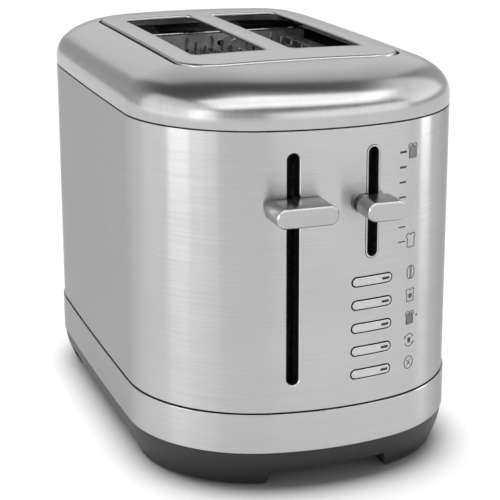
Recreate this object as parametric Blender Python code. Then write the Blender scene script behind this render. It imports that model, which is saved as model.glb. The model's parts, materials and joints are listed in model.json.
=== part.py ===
"""Pop-up toaster with two bread slots, modelled as an assembly of separate parts.

Metres, +Z up. The control panel faces -Y, the toaster stands on Z = 0 and is
centred on X = 0. The lift lever stands where it rests between toasts.
"""
import math

import bmesh
import bpy
from mathutils import Vector

# ---------------------------------------------------------------- driving dimensions
# Body outline seen from above: four tangent arcs in each half.
HALF_WIDTH = 0.0900
HALF_DEPTH = 0.1471
END_RADIUS = 0.1467        # bow of the front and rear faces
SIDE_RADIUS = 3.94         # almost flat sides
CORNER_RADIUS = 0.0711
END_STEPS = 4              # facets in half an end arc, a corner arc and half a side arc
CORNER_STEPS = 10
SIDE_STEPS = 2

# Levels of the stacked casings.
BASE_UNDERSIDE = 0.0012
BASE_TOP = 0.0203
BAND_BOTTOM = 0.0206
BAND_TOP = 0.0420
WRAP_BOTTOM = 0.0424
WRAP_TOP = 0.1894
COVER_BOTTOM = 0.1898
BAND_PROUD = 0.0007        # the band stands out this far past the wrap
SHEET = 0.0008             # wrapped steel sheet
BAND_WALL = 0.0022
JOIN_GAP = 0.0003          # gap between pieces that touch

# Domed top cover: height as a function of the distance in from the outline.
COVER_WALL_HEIGHT = 0.0038
COVER_RISE = 0.0185
COVER_REACH = 0.0340
COVER_POWER = 2.4
COVER_SLOPE = 0.03
COVER_FLARE = 0.0020       # extra rise towards the opening
COVER_THICKNESS = 0.0015
COVER_LIP_BOTTOM = 0.2080
OPENING_HALF_X = 0.0627
OPENING_HALF_Y = 0.0993
OPENING_RADIUS = 0.0220

# Slot plate and its two bread slots.
PLATE_GAP = 0.0015
PLATE_TOP = 0.2170
PLATE_CROWN_X = 0.0010
PLATE_CROWN_Y = 0.0006
PLATE_THICKNESS = 0.0014
PLATE_SKIRT_BOTTOM = 0.2086
PLATE_EDGE = 0.0012
SLOT_CENTRE_X = 0.02755
SLOT_HALF_X = 0.02095
SLOT_FRONT_Y = -0.0660
SLOT_REAR_Y = 0.0757
SLOT_RADIUS = 0.0040
SLOT_LIP_BOTTOM = 0.2090
SLOT_LIP_WALL = 0.0010

# Base: four corner lobes joined by a raised floor.
FLOOR_UNDERSIDE = 0.0120
FLOOR_TOP = 0.0140
BASE_WALL = 0.0028
SIDE_ARCH_FLAT = 0.0660
SIDE_ARCH_FOOT = 0.0800
END_ARCH_FLAT = 0.0310
END_ARCH_FOOT = 0.0342
END_ARCH_TOP = 0.0105
BASE_SWEEP = 0.0056        # how far the base's wall curves in towards its underside
BASE_EDGE = 0.0006
LOBE_ROOM_X = (0.0400, 0.0680)
LOBE_ROOM_Y = (0.0900, 0.1140)
LOBE_ROOM_BOTTOM = 0.0052
CORNERS = (("front_left", -1, -1), ("front_right", 1, -1), ("rear_left", -1, 1), ("rear_right", 1, 1))
FOOT_X = 0.0520
FOOT_Y = 0.1040
FOOT_RADIUS = 0.0060
FOOT_HEIGHT = 0.0030
SCREW_X = 0.0520
SCREW_Y = 0.0850
SCREW_RADIUS = 0.0030
SCREW_BOTTOM = 0.0046
SCREW_TOP = 0.0066

# Crumb tray, drawn out to the rear.
TRAY_HALF_X = 0.0560
TRAY_FRONT_Y = -0.0660
TRAY_REAR_Y = 0.1355
TRAY_BOTTOM = 0.0144
TRAY_TOP = 0.0196
TRAY_SHEET = 0.0006
GRIP_REAR_Y = 0.1495

# Cord gland in the rear of the band.
GLAND_Z = 0.0315
GLAND_RADIUS = 0.0060
GLAND_BORE = 0.0034
GLAND_FLANGE = 0.0088
GLAND_PROUD = 0.0026
GLAND_LENGTH = 0.0111

# Chassis, shields, heaters and bread guards.
FRONT_PLATE_Y = -0.0700
REAR_PLATE_Y = 0.0770
CHASSIS_SHEET = 0.0010
CHASSIS_HALF_X = 0.0700
CHASSIS_LEG_X = 0.0600
CHASSIS_BOTTOM = 0.0235
FRONT_PLATE_TOP = 0.2000
REAR_PLATE_TOP = 0.2050
RACK_SLOT_HALF = 0.0028
RACK_SLOT_BOTTOM = 0.0400
RACK_SLOT_TOP = 0.1560
SHIELD_X = 0.0655
OUTER_HEATER_X = 0.0560
HEATER_SHEET = 0.0010
HEATER_FRONT_Y = -0.0665
HEATER_REAR_Y = 0.0745
HEATER_BOTTOM = 0.0400
HEATER_TOP = 0.1960
RIBBON_MARGIN_Y = 0.0060
RIBBON_MARGIN_BOTTOM = 0.0120
RIBBON_MARGIN_TOP = 0.0100
RIBBON_WIDTH = 0.0016
RIBBON_THICKNESS = 0.0003
RIBBON_ROWS = 11
GUARD_INNER_X = 0.0085
GUARD_OUTER_X = 0.0470
GUARD_WIRE = 0.0016
GUARD_WIRES = 9
GUARD_END_GAP = 0.0005
GUARD_BOTTOM = 0.0440
GUARD_TOP = 0.2040

# Lift mechanism, at the height where it rests.
LEVER_X = -0.0221
LEVER_Z = 0.1510
LEVER_ARM_HALF_Z = 0.0060
LEVER_ARM_HALF_X = 0.0010
RACK_TOP = 0.1290
RACK_THICKNESS = 0.0015
RACK_HALF_X = 0.0060
RACK_TEETH = 10
RACK_TOOTH = 0.0030
RACK_TONGUE_HALF = 0.0020
RACK_TONGUE_REACH = 0.0030 # how far the tongue comes out of the rear end plate
RACK_END_GAP = 0.0025      # between the toothed part and the end plates
CARRIAGE_REAR_Y = -0.0733
CARRIAGE_THICKNESS = 0.0012
CARRIAGE_HALF_X = 0.0360
CARRIAGE_BOTTOM = 0.1210
CARRIAGE_TOP = 0.1580
ROD_X = 0.0040
ROD_Y = -0.0805
ROD_RADIUS = 0.0025
ROD_TOP = 0.1868
BUSH_RADIUS = 0.0048
BRACKET_SHEET = 0.0012
BRACKET_REACH = 0.0055     # past the rod, to the front and to each side
SPRING_X = -0.0085
SPRING_RADIUS = 0.0032
SPRING_WIRE = 0.0004
SPRING_BOTTOM = 0.1318
SPRING_TURNS = 11
MAGNET_X = 0.0220
MAGNET_Y = -0.0850
MAGNET_TOP = 0.0378
MAGNET_HALF_X = 0.0090
MAGNET_HALF_Y = 0.0050
MAGNET_LEG = 0.0035        # width of an outer leg
MAGNET_CORE_HALF_X = 0.0025
MAGNET_YOKE = 0.0050       # height of the bar that joins the legs
COIL_WALL = 0.0024
ARMATURE_THICKNESS = 0.0020

# Knobs.
KNOB_HEIGHT = 0.0101
KNOB_ROUNDING = 0.0046
KNOB_CHAMFER = 0.0007
LIFT_KNOB_WIDTH = 0.0322
LIFT_KNOB_FRONT_Y = -0.1662
LIFT_KNOB_BACK_Y = -0.1478
SHADE_X = 0.0204
SHADE_Z = 0.1498
SHADE_KNOB_WIDTH = 0.0211
SHADE_KNOB_FRONT_Y = -0.1649
SHADE_KNOB_BACK_Y = -0.1480

# Openings of the control panel.
LEVER_SLOT_WIDTH = 0.0062
LEVER_SLOT_BOTTOM = 0.0570
LEVER_SLOT_TOP = 0.1781
LEVER_TRIM = 0.0005
SHADE_SLOT_WIDTH = 0.0057
SHADE_SLOT_BOTTOM = 0.1217
SHADE_SLOT_TOP = 0.1786
SHADE_TRIM = 0.0009
TRIM_PROUD = 0.0003
TRIM_DEPTH = 0.0036
FASCIA_FACE = 0.0012
FASCIA_BACK = 0.0030
FASCIA_LEFT_X = -0.0400
FASCIA_RIGHT_X = 0.0580
FASCIA_BOTTOM = 0.0480
FASCIA_TOP = 0.1860
BUTTON_X = 0.02105
BUTTON_TOP_Z = 0.1088
BUTTON_PITCH = 0.01243
BUTTON_WIDTH = 0.0230
BUTTON_HEIGHT = 0.0045
BUTTON_PROUD = 0.0003
BUTTON_DEPTH = 0.0095
BUTTON_GAP = 0.0003
BUTTON_NAMES = ("bagel", "frozen", "extra", "reheat", "cancel")
WINDOW_OFFSET_X = 0.0078
WINDOW_WIDTH = 0.0042
WINDOW_HEIGHT = 0.0010
WINDOW_DEPTH = 0.0020
BOARD_FRONT_Y = -0.1310
BOARD_THICKNESS = 0.0016
BOARD_X = (-0.0040, 0.0510)
BOARD_Z = (0.0460, 0.1820)
POWER_BOARD_X = -0.0560
POWER_BOARD_Y = (-0.1150, -0.0800)
POWER_BOARD_Z = (0.0300, 0.1300)
POT_DEPTH = 0.0077
POT_HALF_X = 0.0048
POT_Z = (0.1200, 0.1800)
POT_TRACK_HALF_X = 0.0012
POT_TRACK_DEPTH = 0.0050
STEM_BLADE_HALF_X = 0.0008
STEM_BLADE_REACH = 0.0040  # how deep the blade runs in the track
STEM_HALF_X = 0.0018
STEM_HALF_Z = 0.0022

# The origin is under the middle of the whole toaster, lift knob and gland included.
BODY_SHIFT_Y = -(LIFT_KNOB_FRONT_Y + HALF_DEPTH + BAND_PROUD + GLAND_PROUD) / 2

CUTTER_REACH = 0.02        # how far a cutter runs past what it cuts


# ---------------------------------------------------------------- outline geometry
def corner_centre():
    """Centre of the front right corner arc, tangent to the end arc and the side arc."""
    end = Vector((0.0, END_RADIUS - HALF_DEPTH))
    side = Vector((HALF_WIDTH - SIDE_RADIUS, 0.0))
    end_reach = END_RADIUS - CORNER_RADIUS
    side_reach = SIDE_RADIUS - CORNER_RADIUS
    apart = (side - end).length
    along = (end_reach ** 2 - side_reach ** 2 + apart ** 2) / (2 * apart)
    across = math.sqrt(end_reach ** 2 - along ** 2)
    direction = (side - end) / apart
    normal = Vector((-direction.y, direction.x))
    options = [end + direction * along + normal * sign * across for sign in (1, -1)]
    return max(options, key=lambda point: point.x - point.y)


END_CENTRE = Vector((0.0, END_RADIUS - HALF_DEPTH))
SIDE_CENTRE = Vector((HALF_WIDTH - SIDE_RADIUS, 0.0))
CORNER_CENTRE = corner_centre()
END_ANGLE = math.atan2(CORNER_CENTRE.x, END_CENTRE.y - CORNER_CENTRE.y)
SIDE_ANGLE = math.atan2(CORNER_CENTRE.x - SIDE_CENTRE.x, -CORNER_CENTRE.y)


def arc(centre, radius, start, stop, steps):
    """Points on an arc whose angles are measured from -Y towards +X, without the last one."""
    points = []
    for step in range(steps):
        angle = start + (stop - start) * step / steps
        points.append((centre.x + radius * math.sin(angle), centre.y - radius * math.cos(angle)))
    return points


def mirrored(quadrant, tip):
    """Close a front right quadrant, from front centre to side centre, into a full outline."""
    right = quadrant + [tip] + [(x, -y) for x, y in reversed(quadrant)]
    left = [(-x, y) for x, y in reversed(right[1:-1])]
    return right + left


def outline(inset=0.0):
    """Body outline, moved in by inset, counterclockwise from the front centre."""
    quadrant = arc(END_CENTRE, END_RADIUS - inset, 0.0, END_ANGLE, END_STEPS)
    quadrant += arc(CORNER_CENTRE, CORNER_RADIUS - inset, END_ANGLE, SIDE_ANGLE, CORNER_STEPS)
    quadrant += arc(SIDE_CENTRE, SIDE_RADIUS - inset, SIDE_ANGLE, math.pi / 2, SIDE_STEPS)
    return mirrored(quadrant, (HALF_WIDTH - inset, 0.0))


def rounded_rectangle(half_x, half_y, radius):
    """Rounded rectangle with the same number of points, in the same order, as outline()."""
    centre = Vector((half_x - radius, radius - half_y))
    quadrant = [(centre.x * step / END_STEPS, -half_y) for step in range(END_STEPS)]
    quadrant += arc(centre, radius, 0.0, math.pi / 2, CORNER_STEPS)
    quadrant += [(half_x, centre.y * (1 - step / SIDE_STEPS)) for step in range(SIDE_STEPS)]
    return mirrored(quadrant, (half_x, 0.0))


def inset_at(x, y):
    """Distance of a point in plan from the body outline."""
    point = Vector((abs(x), -abs(y)))
    from_corner = point - CORNER_CENTRE
    angle = math.atan2(from_corner.x, -from_corner.y)
    if angle < END_ANGLE:
        return END_RADIUS - (point - END_CENTRE).length
    if angle > SIDE_ANGLE:
        return SIDE_RADIUS - (point - SIDE_CENTRE).length
    return CORNER_RADIUS - from_corner.length


def front_point(x, inset=0.0):
    """Point of the front face at x, moved in along the face's normal."""
    centre, radius = END_CENTRE, END_RADIUS
    if abs(x) > END_RADIUS * math.sin(END_ANGLE):
        centre = Vector((math.copysign(CORNER_CENTRE.x, x), CORNER_CENTRE.y))
        radius = CORNER_RADIUS
    across = x - centre.x
    along = -math.sqrt(radius ** 2 - across ** 2)
    scale = (radius - inset) / radius
    return centre.x + across * scale, centre.y + along * scale


def at_height(points, z):
    return [(x, y, z) for x, y in points]


# ---------------------------------------------------------------- making objects
def make_material(name, colour, roughness, metallic):
    material = bpy.data.materials.new(name)
    material.use_nodes = True
    shader = material.node_tree.nodes["Principled BSDF"]
    shader.inputs["Base Color"].default_value = (*colour, 1.0)
    shader.inputs["Roughness"].default_value = roughness
    shader.inputs["Metallic"].default_value = metallic
    material.diffuse_color = (*colour, 1.0)
    return material


def make_object(name, mesh, material, origin=(0.0, 0.0, 0.0), smooth=True):
    """Turn a bmesh built in world coordinates into an object with its origin at a point."""
    bmesh.ops.recalc_face_normals(mesh, faces=mesh.faces)
    bmesh.ops.translate(mesh, verts=mesh.verts, vec=-Vector(origin))
    data = bpy.data.meshes.new(name)
    mesh.to_mesh(data)
    mesh.free()
    piece = bpy.data.objects.new(name, data)
    piece.location = origin
    bpy.context.collection.objects.link(piece)
    if material is not None:
        data.materials.append(material)
    if smooth:
        data.shade_smooth()
        data.set_sharp_from_angle(angle=math.radians(32))
    return piece


def copy_object(source, name, location):
    """Another piece with the same mesh."""
    piece = bpy.data.objects.new(name, source.data)
    piece.location = location
    bpy.context.collection.objects.link(piece)
    return piece


def skin(mesh, rings, closed=False):
    """Faces between neighbouring rings of points; returns the rings of vertices."""
    loops = [[mesh.verts.new(point) for point in ring] for ring in rings]
    pairs = list(zip(loops, loops[1:]))
    if closed:
        pairs.append((loops[-1], loops[0]))
    for first, second in pairs:
        for index in range(len(first)):
            following = (index + 1) % len(first)
            mesh.faces.new((first[index], first[following], second[following], second[index]))
    return loops


def loft(name, rings, material, closed=False, origin=(0.0, 0.0, 0.0)):
    """A solid between the first and last ring, or a ring-shaped one where closed."""
    mesh = bmesh.new()
    loops = skin(mesh, rings, closed)
    if not closed:
        mesh.faces.new(loops[0])
        mesh.faces.new(loops[-1])
    return make_object(name, mesh, material, origin)


def block(name, low, high, material, origin=(0.0, 0.0, 0.0), bevel=0.0):
    """A box between two corners, with its edges broken where bevel is given."""
    mesh = bmesh.new()
    bmesh.ops.create_cube(mesh, size=1.0)
    size = Vector(high) - Vector(low)
    bmesh.ops.scale(mesh, verts=mesh.verts, vec=size)
    bmesh.ops.translate(mesh, verts=mesh.verts, vec=(Vector(low) + Vector(high)) / 2)
    if bevel:
        bmesh.ops.bevel(mesh, geom=mesh.edges[:], offset=bevel, segments=2, profile=0.5,
                        affect="EDGES")
    return make_object(name, mesh, material, origin)


def prism(name, polygon, axis, low, high, material, origin=(0.0, 0.0, 0.0)):
    """A polygon extruded along X, Y or Z; its points hold the other two coordinates in order."""
    def lift(point, value):
        first, second = point
        if axis == "X":
            return (value, first, second)
        if axis == "Y":
            return (first, value, second)
        return (first, second, value)

    rings = [[lift(point, value) for point in polygon] for value in (low, high)]
    return loft(name, rings, material, origin=origin)


def cylinder(name, centre, radius, low, high, material, sides=32, origin=(0.0, 0.0, 0.0)):
    """An upright cylinder."""
    turns = [2 * math.pi * step / sides for step in range(sides)]
    circle = [(centre[0] + radius * math.cos(turn), centre[1] + radius * math.sin(turn))
              for turn in turns]
    return prism(name, circle, "Z", low, high, material, origin)


def combine(piece, other, operation):
    """Boolean a helper solid into a piece; the helper is hidden and isn't part of the toaster."""
    modifier = piece.modifiers.new(operation.title(), "BOOLEAN")
    modifier.operation = operation
    modifier.object = other
    modifier.solver = "EXACT"
    other.hide_render = True
    other.display_type = "WIRE"
    other.hide_set(True)


def cut(piece, *cutters):
    for cutter in cutters:
        combine(piece, cutter, "DIFFERENCE")


def parent_to(frame, *pieces):
    """Hang pieces on a moving frame without shifting them."""
    for piece in pieces:
        piece.parent = frame
        piece.location = Vector(piece.location) - Vector(frame.location)


def moving_frame(name, location):
    frame = bpy.data.objects.new(name, None)
    frame.location = location
    bpy.context.collection.objects.link(frame)
    return frame


def cell_plate(name, columns, rows, is_solid, axis, low, high, material, origin=(0.0, 0.0, 0.0)):
    """A flat plate of rectangular cells, with windows where a cell isn't solid."""
    mesh = bmesh.new()
    corners = {}

    def corner(column, row, side):
        key = (column, row, side)
        if key not in corners:
            first, second, depth = columns[column], rows[row], (low, high)[side]
            point = (depth, first, second) if axis == "X" else (first, second, depth)
            corners[key] = mesh.verts.new(point)
        return corners[key]

    def filled(column, row):
        inside = 0 <= column < len(columns) - 1 and 0 <= row < len(rows) - 1
        return inside and is_solid(column, row)

    for column in range(len(columns) - 1):
        for row in range(len(rows) - 1):
            if not filled(column, row):
                continue
            square = [(column, row), (column + 1, row), (column + 1, row + 1), (column, row + 1)]
            for side in (0, 1):
                mesh.faces.new([corner(*place, side) for place in square])
            neighbours = [(column, row - 1), (column + 1, row), (column, row + 1), (column - 1, row)]
            for index, neighbour in enumerate(neighbours):
                if filled(*neighbour):
                    continue
                start, stop = square[index], square[(index + 1) % 4]
                mesh.faces.new([corner(*start, 0), corner(*stop, 0),
                                corner(*stop, 1), corner(*start, 1)])
    return make_object(name, mesh, material, origin, smooth=False)


def bar_edges(start, stop, count, width):
    """Edges of evenly spaced bars, the first flush with start and the last with stop."""
    pitch = (stop - start - width) / (count - 1)
    edges = []
    for index in range(count):
        edges += [start + index * pitch, start + index * pitch + width]
    return edges


# ---------------------------------------------------------------- shapes on the bowed panel
def pill_outline(width, height, arc_steps=4):
    """Lower side from left to right, then upper side back, of a stadium about (0, 0)."""
    radius = min(width, height) / 2
    reach = max(width, height) / 2 - radius
    straight_steps = 5 if width > height else 1
    lower = []
    for step in range(arc_steps + 1):
        angle = math.pi + math.pi / 2 * step / arc_steps
        lower.append((-reach + radius * math.cos(angle), radius * math.sin(angle)))
    for step in range(1, straight_steps):
        lower.append((-reach + 2 * reach * step / straight_steps, -radius))
    for step in range(arc_steps + 1):
        angle = 1.5 * math.pi + math.pi / 2 * step / arc_steps
        lower.append((reach + radius * math.cos(angle), radius * math.sin(angle)))
    upper = [(along, -across) for along, across in reversed(lower[1:-1])]
    points = lower + upper
    if height > width:
        points = [(-across, along) for along, across in points]
    return points


def panel_ring(x, z, width, height, inset):
    """A stadium laid on the front face, moved in by inset along the face's normal."""
    ring = []
    for across, up in pill_outline(width, height):
        front_x, front_y = front_point(x + across, inset)
        ring.append((front_x, front_y, z + up))
    return ring


def cap_with_strips(mesh, loop):
    """Close a pill-shaped loop with strips from its lower side to its upper side."""
    half = len(loop) // 2
    mesh.faces.new((loop[0], loop[1], loop[-1]))
    for index in range(1, half - 1):
        mesh.faces.new((loop[index], loop[index + 1], loop[-index - 1], loop[-index]))
    mesh.faces.new((loop[half - 1], loop[half], loop[half + 1]))


def panel_pill(name, x, z, width, height, levels, material, closed=False):
    """A pill-shaped solid or frame on the front face.

    Each level is (growth, inset): how much wider the pill is all round, and how far in it lies.
    """
    mesh = bmesh.new()
    rings = [panel_ring(x, z, width + 2 * growth, height + 2 * growth, inset)
             for growth, inset in levels]
    loops = skin(mesh, rings, closed)
    if not closed:
        cap_with_strips(mesh, loops[0])
        cap_with_strips(mesh, loops[-1])
    return make_object(name, mesh, material, origin=(x, front_point(x)[1], z))


def panel_cutter(name, x, z, width, height):
    levels = [(0.0, -CUTTER_REACH / 4), (0.0, CUTTER_REACH / 2)]
    return panel_pill(name, x, z, width, height, levels, None)


# ---------------------------------------------------------------- casings
def cover_height(inset):
    """Height of the domed cover's outer surface at a distance in from the outline."""
    near = min(max(inset, 0.0) / COVER_REACH, 1.0)
    dome = COVER_RISE * (1 - (1 - near) ** COVER_POWER) ** (1 / COVER_POWER)
    return COVER_BOTTOM + COVER_WALL_HEIGHT + dome + COVER_SLOPE * max(inset, 0.0)


def cover_surface(wall_inset, opening_growth, drop, fractions):
    """Rings of the cover from its wall to its opening, for the outer or the inner face."""
    outside = outline(wall_inset)
    inside = rounded_rectangle(OPENING_HALF_X + opening_growth, OPENING_HALF_Y + opening_growth,
                               OPENING_RADIUS + opening_growth)
    rings = []
    for fraction in fractions:
        ring = []
        for (x0, y0), (x1, y1) in zip(outside, inside):
            x = x0 + (x1 - x0) * fraction
            y = y0 + (y1 - y0) * fraction
            flare = COVER_FLARE * fraction ** 1.5
            ring.append((x, y, cover_height(inset_at(x, y) - wall_inset) + flare - drop))
        rings.append(ring)
    return rings


def build_top_cover(material):
    steps = 9
    fractions = [(step / steps) ** 2.2 for step in range(steps + 1)]
    lip = rounded_rectangle(OPENING_HALF_X, OPENING_HALF_Y, OPENING_RADIUS)
    lip_back = rounded_rectangle(OPENING_HALF_X + COVER_THICKNESS,
                                 OPENING_HALF_Y + COVER_THICKNESS,
                                 OPENING_RADIUS + COVER_THICKNESS)
    rings = [at_height(outline(JOIN_GAP), COVER_BOTTOM), at_height(outline(), COVER_BOTTOM + JOIN_GAP)]
    rings += cover_surface(0.0, 0.0, 0.0, fractions)
    rings += [at_height(lip, COVER_LIP_BOTTOM), at_height(lip_back, COVER_LIP_BOTTOM)]
    rings += reversed(cover_surface(COVER_THICKNESS, COVER_THICKNESS, COVER_THICKNESS, fractions[::3]))
    rings += [at_height(outline(COVER_THICKNESS), COVER_BOTTOM)]
    return loft("top_cover", rings, material, closed=True)


def plate_height(x, y):
    """Height of the slot plate's slightly crowned top."""
    across = (x / OPENING_HALF_X) ** 2
    along = (y / OPENING_HALF_Y) ** 2
    return PLATE_TOP - PLATE_CROWN_X * across - PLATE_CROWN_Y * along


def plate_ring(inset, drop):
    """A ring of the slot plate, in from its edge and down from its top."""
    edge = PLATE_GAP + inset
    points = rounded_rectangle(OPENING_HALF_X - edge, OPENING_HALF_Y - edge, OPENING_RADIUS - edge)
    return [(x, y, plate_height(x, y) - drop) for x, y in points]


def scaled_plate_rings(inset, drop, shares):
    """Rings shrinking towards the plate's centre."""
    rings = []
    for share in shares:
        ring = [(x * share, y * share) for x, y, _ in plate_ring(inset, drop)]
        rings.append([(x, y, plate_height(x, y) - drop) for x, y in ring])
    return rings


def slot_outline(growth):
    """Bread slot seen from above, about its own centre line, grown all round."""
    half_y = (SLOT_REAR_Y - SLOT_FRONT_Y) / 2 + growth
    middle_y = (SLOT_REAR_Y + SLOT_FRONT_Y) / 2
    points = rounded_rectangle(SLOT_HALF_X + growth, half_y, SLOT_RADIUS + growth)
    return [(x, y + middle_y) for x, y in points]


def build_slot_plate(material):
    shares = (1.0, 0.6, 0.1)
    skirt = PLATE_THICKNESS
    bottom_outside = [(x, y, PLATE_SKIRT_BOTTOM) for x, y, _ in plate_ring(0.0, 0.0)]
    bottom_inside = [(x, y, PLATE_SKIRT_BOTTOM) for x, y, _ in plate_ring(skirt, 0.0)]
    rings = list(reversed(scaled_plate_rings(skirt, PLATE_THICKNESS, shares)))
    rings += [bottom_inside, bottom_outside]
    for step in range(4):
        angle = math.pi / 2 * step / 3
        rings.append(plate_ring(PLATE_EDGE * (1 - math.cos(angle)), PLATE_EDGE * (1 - math.sin(angle))))
    rings += scaled_plate_rings(PLATE_EDGE, 0.0, shares[1:])
    plate = loft("slot_plate", rings, material)
    for side, name in ((-1, "left"), (1, "right")):
        lip = [(x + side * SLOT_CENTRE_X, y) for x, y in slot_outline(SLOT_LIP_WALL)]
        slot = [(x + side * SLOT_CENTRE_X, y) for x, y in slot_outline(0.0)]
        lip_top = PLATE_TOP - PLATE_CROWN_X - PLATE_THICKNESS / 2
        combine(plate, prism("lip_form_" + name, lip, "Z", SLOT_LIP_BOTTOM, lip_top, None), "UNION")
        cutter = prism("slot_cutter_" + name, slot, "Z", SLOT_LIP_BOTTOM - CUTTER_REACH,
                       PLATE_TOP + CUTTER_REACH, None)
        cut(plate, cutter)
    return plate


def sleeve(name, bottom, top, outer, inner, break_edge, material):
    """A ring of sheet that follows the body outline, with its outer edges broken."""
    rings = [at_height(outline(outer + break_edge), bottom),
             at_height(outline(outer), bottom + break_edge),
             at_height(outline(outer), top - break_edge),
             at_height(outline(outer + break_edge), top),
             at_height(outline(inner), top),
             at_height(outline(inner), bottom)]
    return loft(name, rings, material, closed=True)


def build_body_wrap(material):
    wrap = sleeve("body_wrap", WRAP_BOTTOM, WRAP_TOP, 0.0, SHEET, JOIN_GAP / 2, material)
    lever_z = (LEVER_SLOT_TOP + LEVER_SLOT_BOTTOM) / 2
    lever_height = LEVER_SLOT_TOP - LEVER_SLOT_BOTTOM
    shade_z = (SHADE_SLOT_TOP + SHADE_SLOT_BOTTOM) / 2
    shade_height = SHADE_SLOT_TOP - SHADE_SLOT_BOTTOM
    lever_room = 2 * (LEVER_TRIM + JOIN_GAP / 2)
    shade_room = 2 * (SHADE_TRIM + JOIN_GAP / 2)
    cut(wrap, panel_cutter("lever_slot_cutter", LEVER_X, lever_z,
                           LEVER_SLOT_WIDTH + lever_room, lever_height + lever_room))
    cut(wrap, panel_cutter("shade_slot_cutter", SHADE_X, shade_z,
                           SHADE_SLOT_WIDTH + shade_room, shade_height + shade_room))
    for index in range(len(BUTTON_NAMES)):
        z = BUTTON_TOP_Z - index * BUTTON_PITCH
        cut(wrap, panel_cutter("button_cutter_%d" % (index + 1), BUTTON_X, z,
                               BUTTON_WIDTH + 2 * BUTTON_GAP, BUTTON_HEIGHT + 2 * BUTTON_GAP))
    return wrap


def build_lower_band(material):
    band = sleeve("lower_band", BAND_BOTTOM, BAND_TOP, -BAND_PROUD, BAND_WALL - BAND_PROUD,
                  0.0004, material)
    cut(band, rear_bore("gland_bore", GLAND_RADIUS + JOIN_GAP))
    return band


def circle_at(radius, sides=24):
    turns = [2 * math.pi * step / sides for step in range(sides)]
    return [(radius * math.cos(turn), GLAND_Z + radius * math.sin(turn)) for turn in turns]


def rear_bore(name, radius):
    """A cutter along Y through the rear of the band, on the gland's axis."""
    return prism(name, circle_at(radius), "Y", HALF_DEPTH - CUTTER_REACH / 2,
                 HALF_DEPTH + CUTTER_REACH, None)


def build_cord_gland(material):
    """Bush that the mains lead enters by, at the middle of the rear."""
    band_face = HALF_DEPTH + BAND_PROUD
    rear = band_face + GLAND_PROUD
    front = rear - GLAND_LENGTH
    profile = [(GLAND_BORE, front), (GLAND_RADIUS, front),
               (GLAND_RADIUS, band_face + JOIN_GAP), (GLAND_FLANGE, band_face + JOIN_GAP),
               (GLAND_FLANGE, rear - 0.0010), (GLAND_RADIUS - 0.0005, rear),
               (GLAND_BORE, rear)]
    rings = [[(x, y, z) for x, z in circle_at(radius)] for radius, y in profile]
    return loft("cord_gland", rings, material, closed=True)


# ---------------------------------------------------------------- base
def base_profile():
    """Inset and height of the base's outer wall, from its underside to the band."""
    start = BASE_UNDERSIDE + BASE_EDGE
    rows = [(BASE_SWEEP + 2 * BASE_EDGE, BASE_UNDERSIDE), (BASE_SWEEP, start)]
    steps = 6
    for step in range(1, steps + 1):
        share = step / steps
        inset = BASE_SWEEP * (1 - math.sin(math.pi / 2 * share))
        rows.append((inset, start + (BASE_TOP - start) * share))
    return rows


def rounded_ramp(low, high, steps=6):
    """An S-shaped run of points from low to high, both given as (across, up)."""
    points = []
    for step in range(steps + 1):
        share = step / steps
        ease = (1 - math.cos(math.pi * share)) / 2
        points.append((low[0] + (high[0] - low[0]) * share, low[1] + (high[1] - low[1]) * ease))
    return points


def arch_polygon(foot, flat, top):
    """Cut-out between two feet, open below, with eased ends."""
    below = -0.001
    right = rounded_ramp((foot, BASE_UNDERSIDE - 0.0002), (flat, top))
    left = [(-across, up) for across, up in reversed(right)]
    return [(foot, below)] + right + left + [(-foot, below)]


def build_base(material):
    rings = [at_height(outline(inset), height) for inset, height in base_profile()]
    base = loft("base_housing", rings, material)
    well = prism("base_well", outline(BASE_WALL), "Z", FLOOR_TOP, BASE_TOP + CUTTER_REACH, None)
    reach = HALF_DEPTH + CUTTER_REACH
    sides = prism("side_arch", arch_polygon(SIDE_ARCH_FOOT, SIDE_ARCH_FLAT, FLOOR_UNDERSIDE), "X",
                  -reach, reach, None)
    ends = prism("end_arch", arch_polygon(END_ARCH_FOOT, END_ARCH_FLAT, END_ARCH_TOP),
                 "Y", -reach, reach, None)
    mouth = block("tray_mouth", (-TRAY_HALF_X - 0.0006, HALF_DEPTH - CUTTER_REACH, FLOOR_TOP - 0.0001),
                  (TRAY_HALF_X + 0.0006, reach, BASE_TOP + CUTTER_REACH), None)
    cut(base, well, sides, ends, mouth)
    for name, side_x, side_y in CORNERS:
        seat = cylinder("foot_seat_" + name, (side_x * FOOT_X, side_y * FOOT_Y),
                        FOOT_RADIUS + JOIN_GAP, -0.001, FOOT_HEIGHT + JOIN_GAP, None, sides=24)
        recess = cylinder("screw_recess_" + name, (side_x * SCREW_X, side_y * SCREW_Y),
                          SCREW_RADIUS + JOIN_GAP, -0.001, SCREW_TOP + JOIN_GAP, None, sides=20)
        room_x = sorted((side_x * LOBE_ROOM_X[0], side_x * LOBE_ROOM_X[1]))
        room_y = sorted((side_y * LOBE_ROOM_Y[0], side_y * LOBE_ROOM_Y[1]))
        room = block("lobe_room_" + name, (room_x[0], room_y[0], LOBE_ROOM_BOTTOM),
                     (room_x[1], room_y[1], FLOOR_TOP + 0.001), None)
        cut(base, seat, recess, room)


def build_feet_and_screws(rubber, steel):
    """Four glued-in rubber feet and the four screws that hold the base on."""
    foot = None
    for name, side_x, side_y in CORNERS:
        foot_place = (side_x * FOOT_X, side_y * FOOT_Y, 0.0)
        screw_place = (side_x * SCREW_X, side_y * SCREW_Y, SCREW_BOTTOM)
        if foot is None:
            foot = build_foot("rubber_foot_" + name, foot_place, rubber)
        else:
            copy_object(foot, "rubber_foot_" + name, foot_place)
        build_screw("base_screw_" + name, screw_place, steel)


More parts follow.
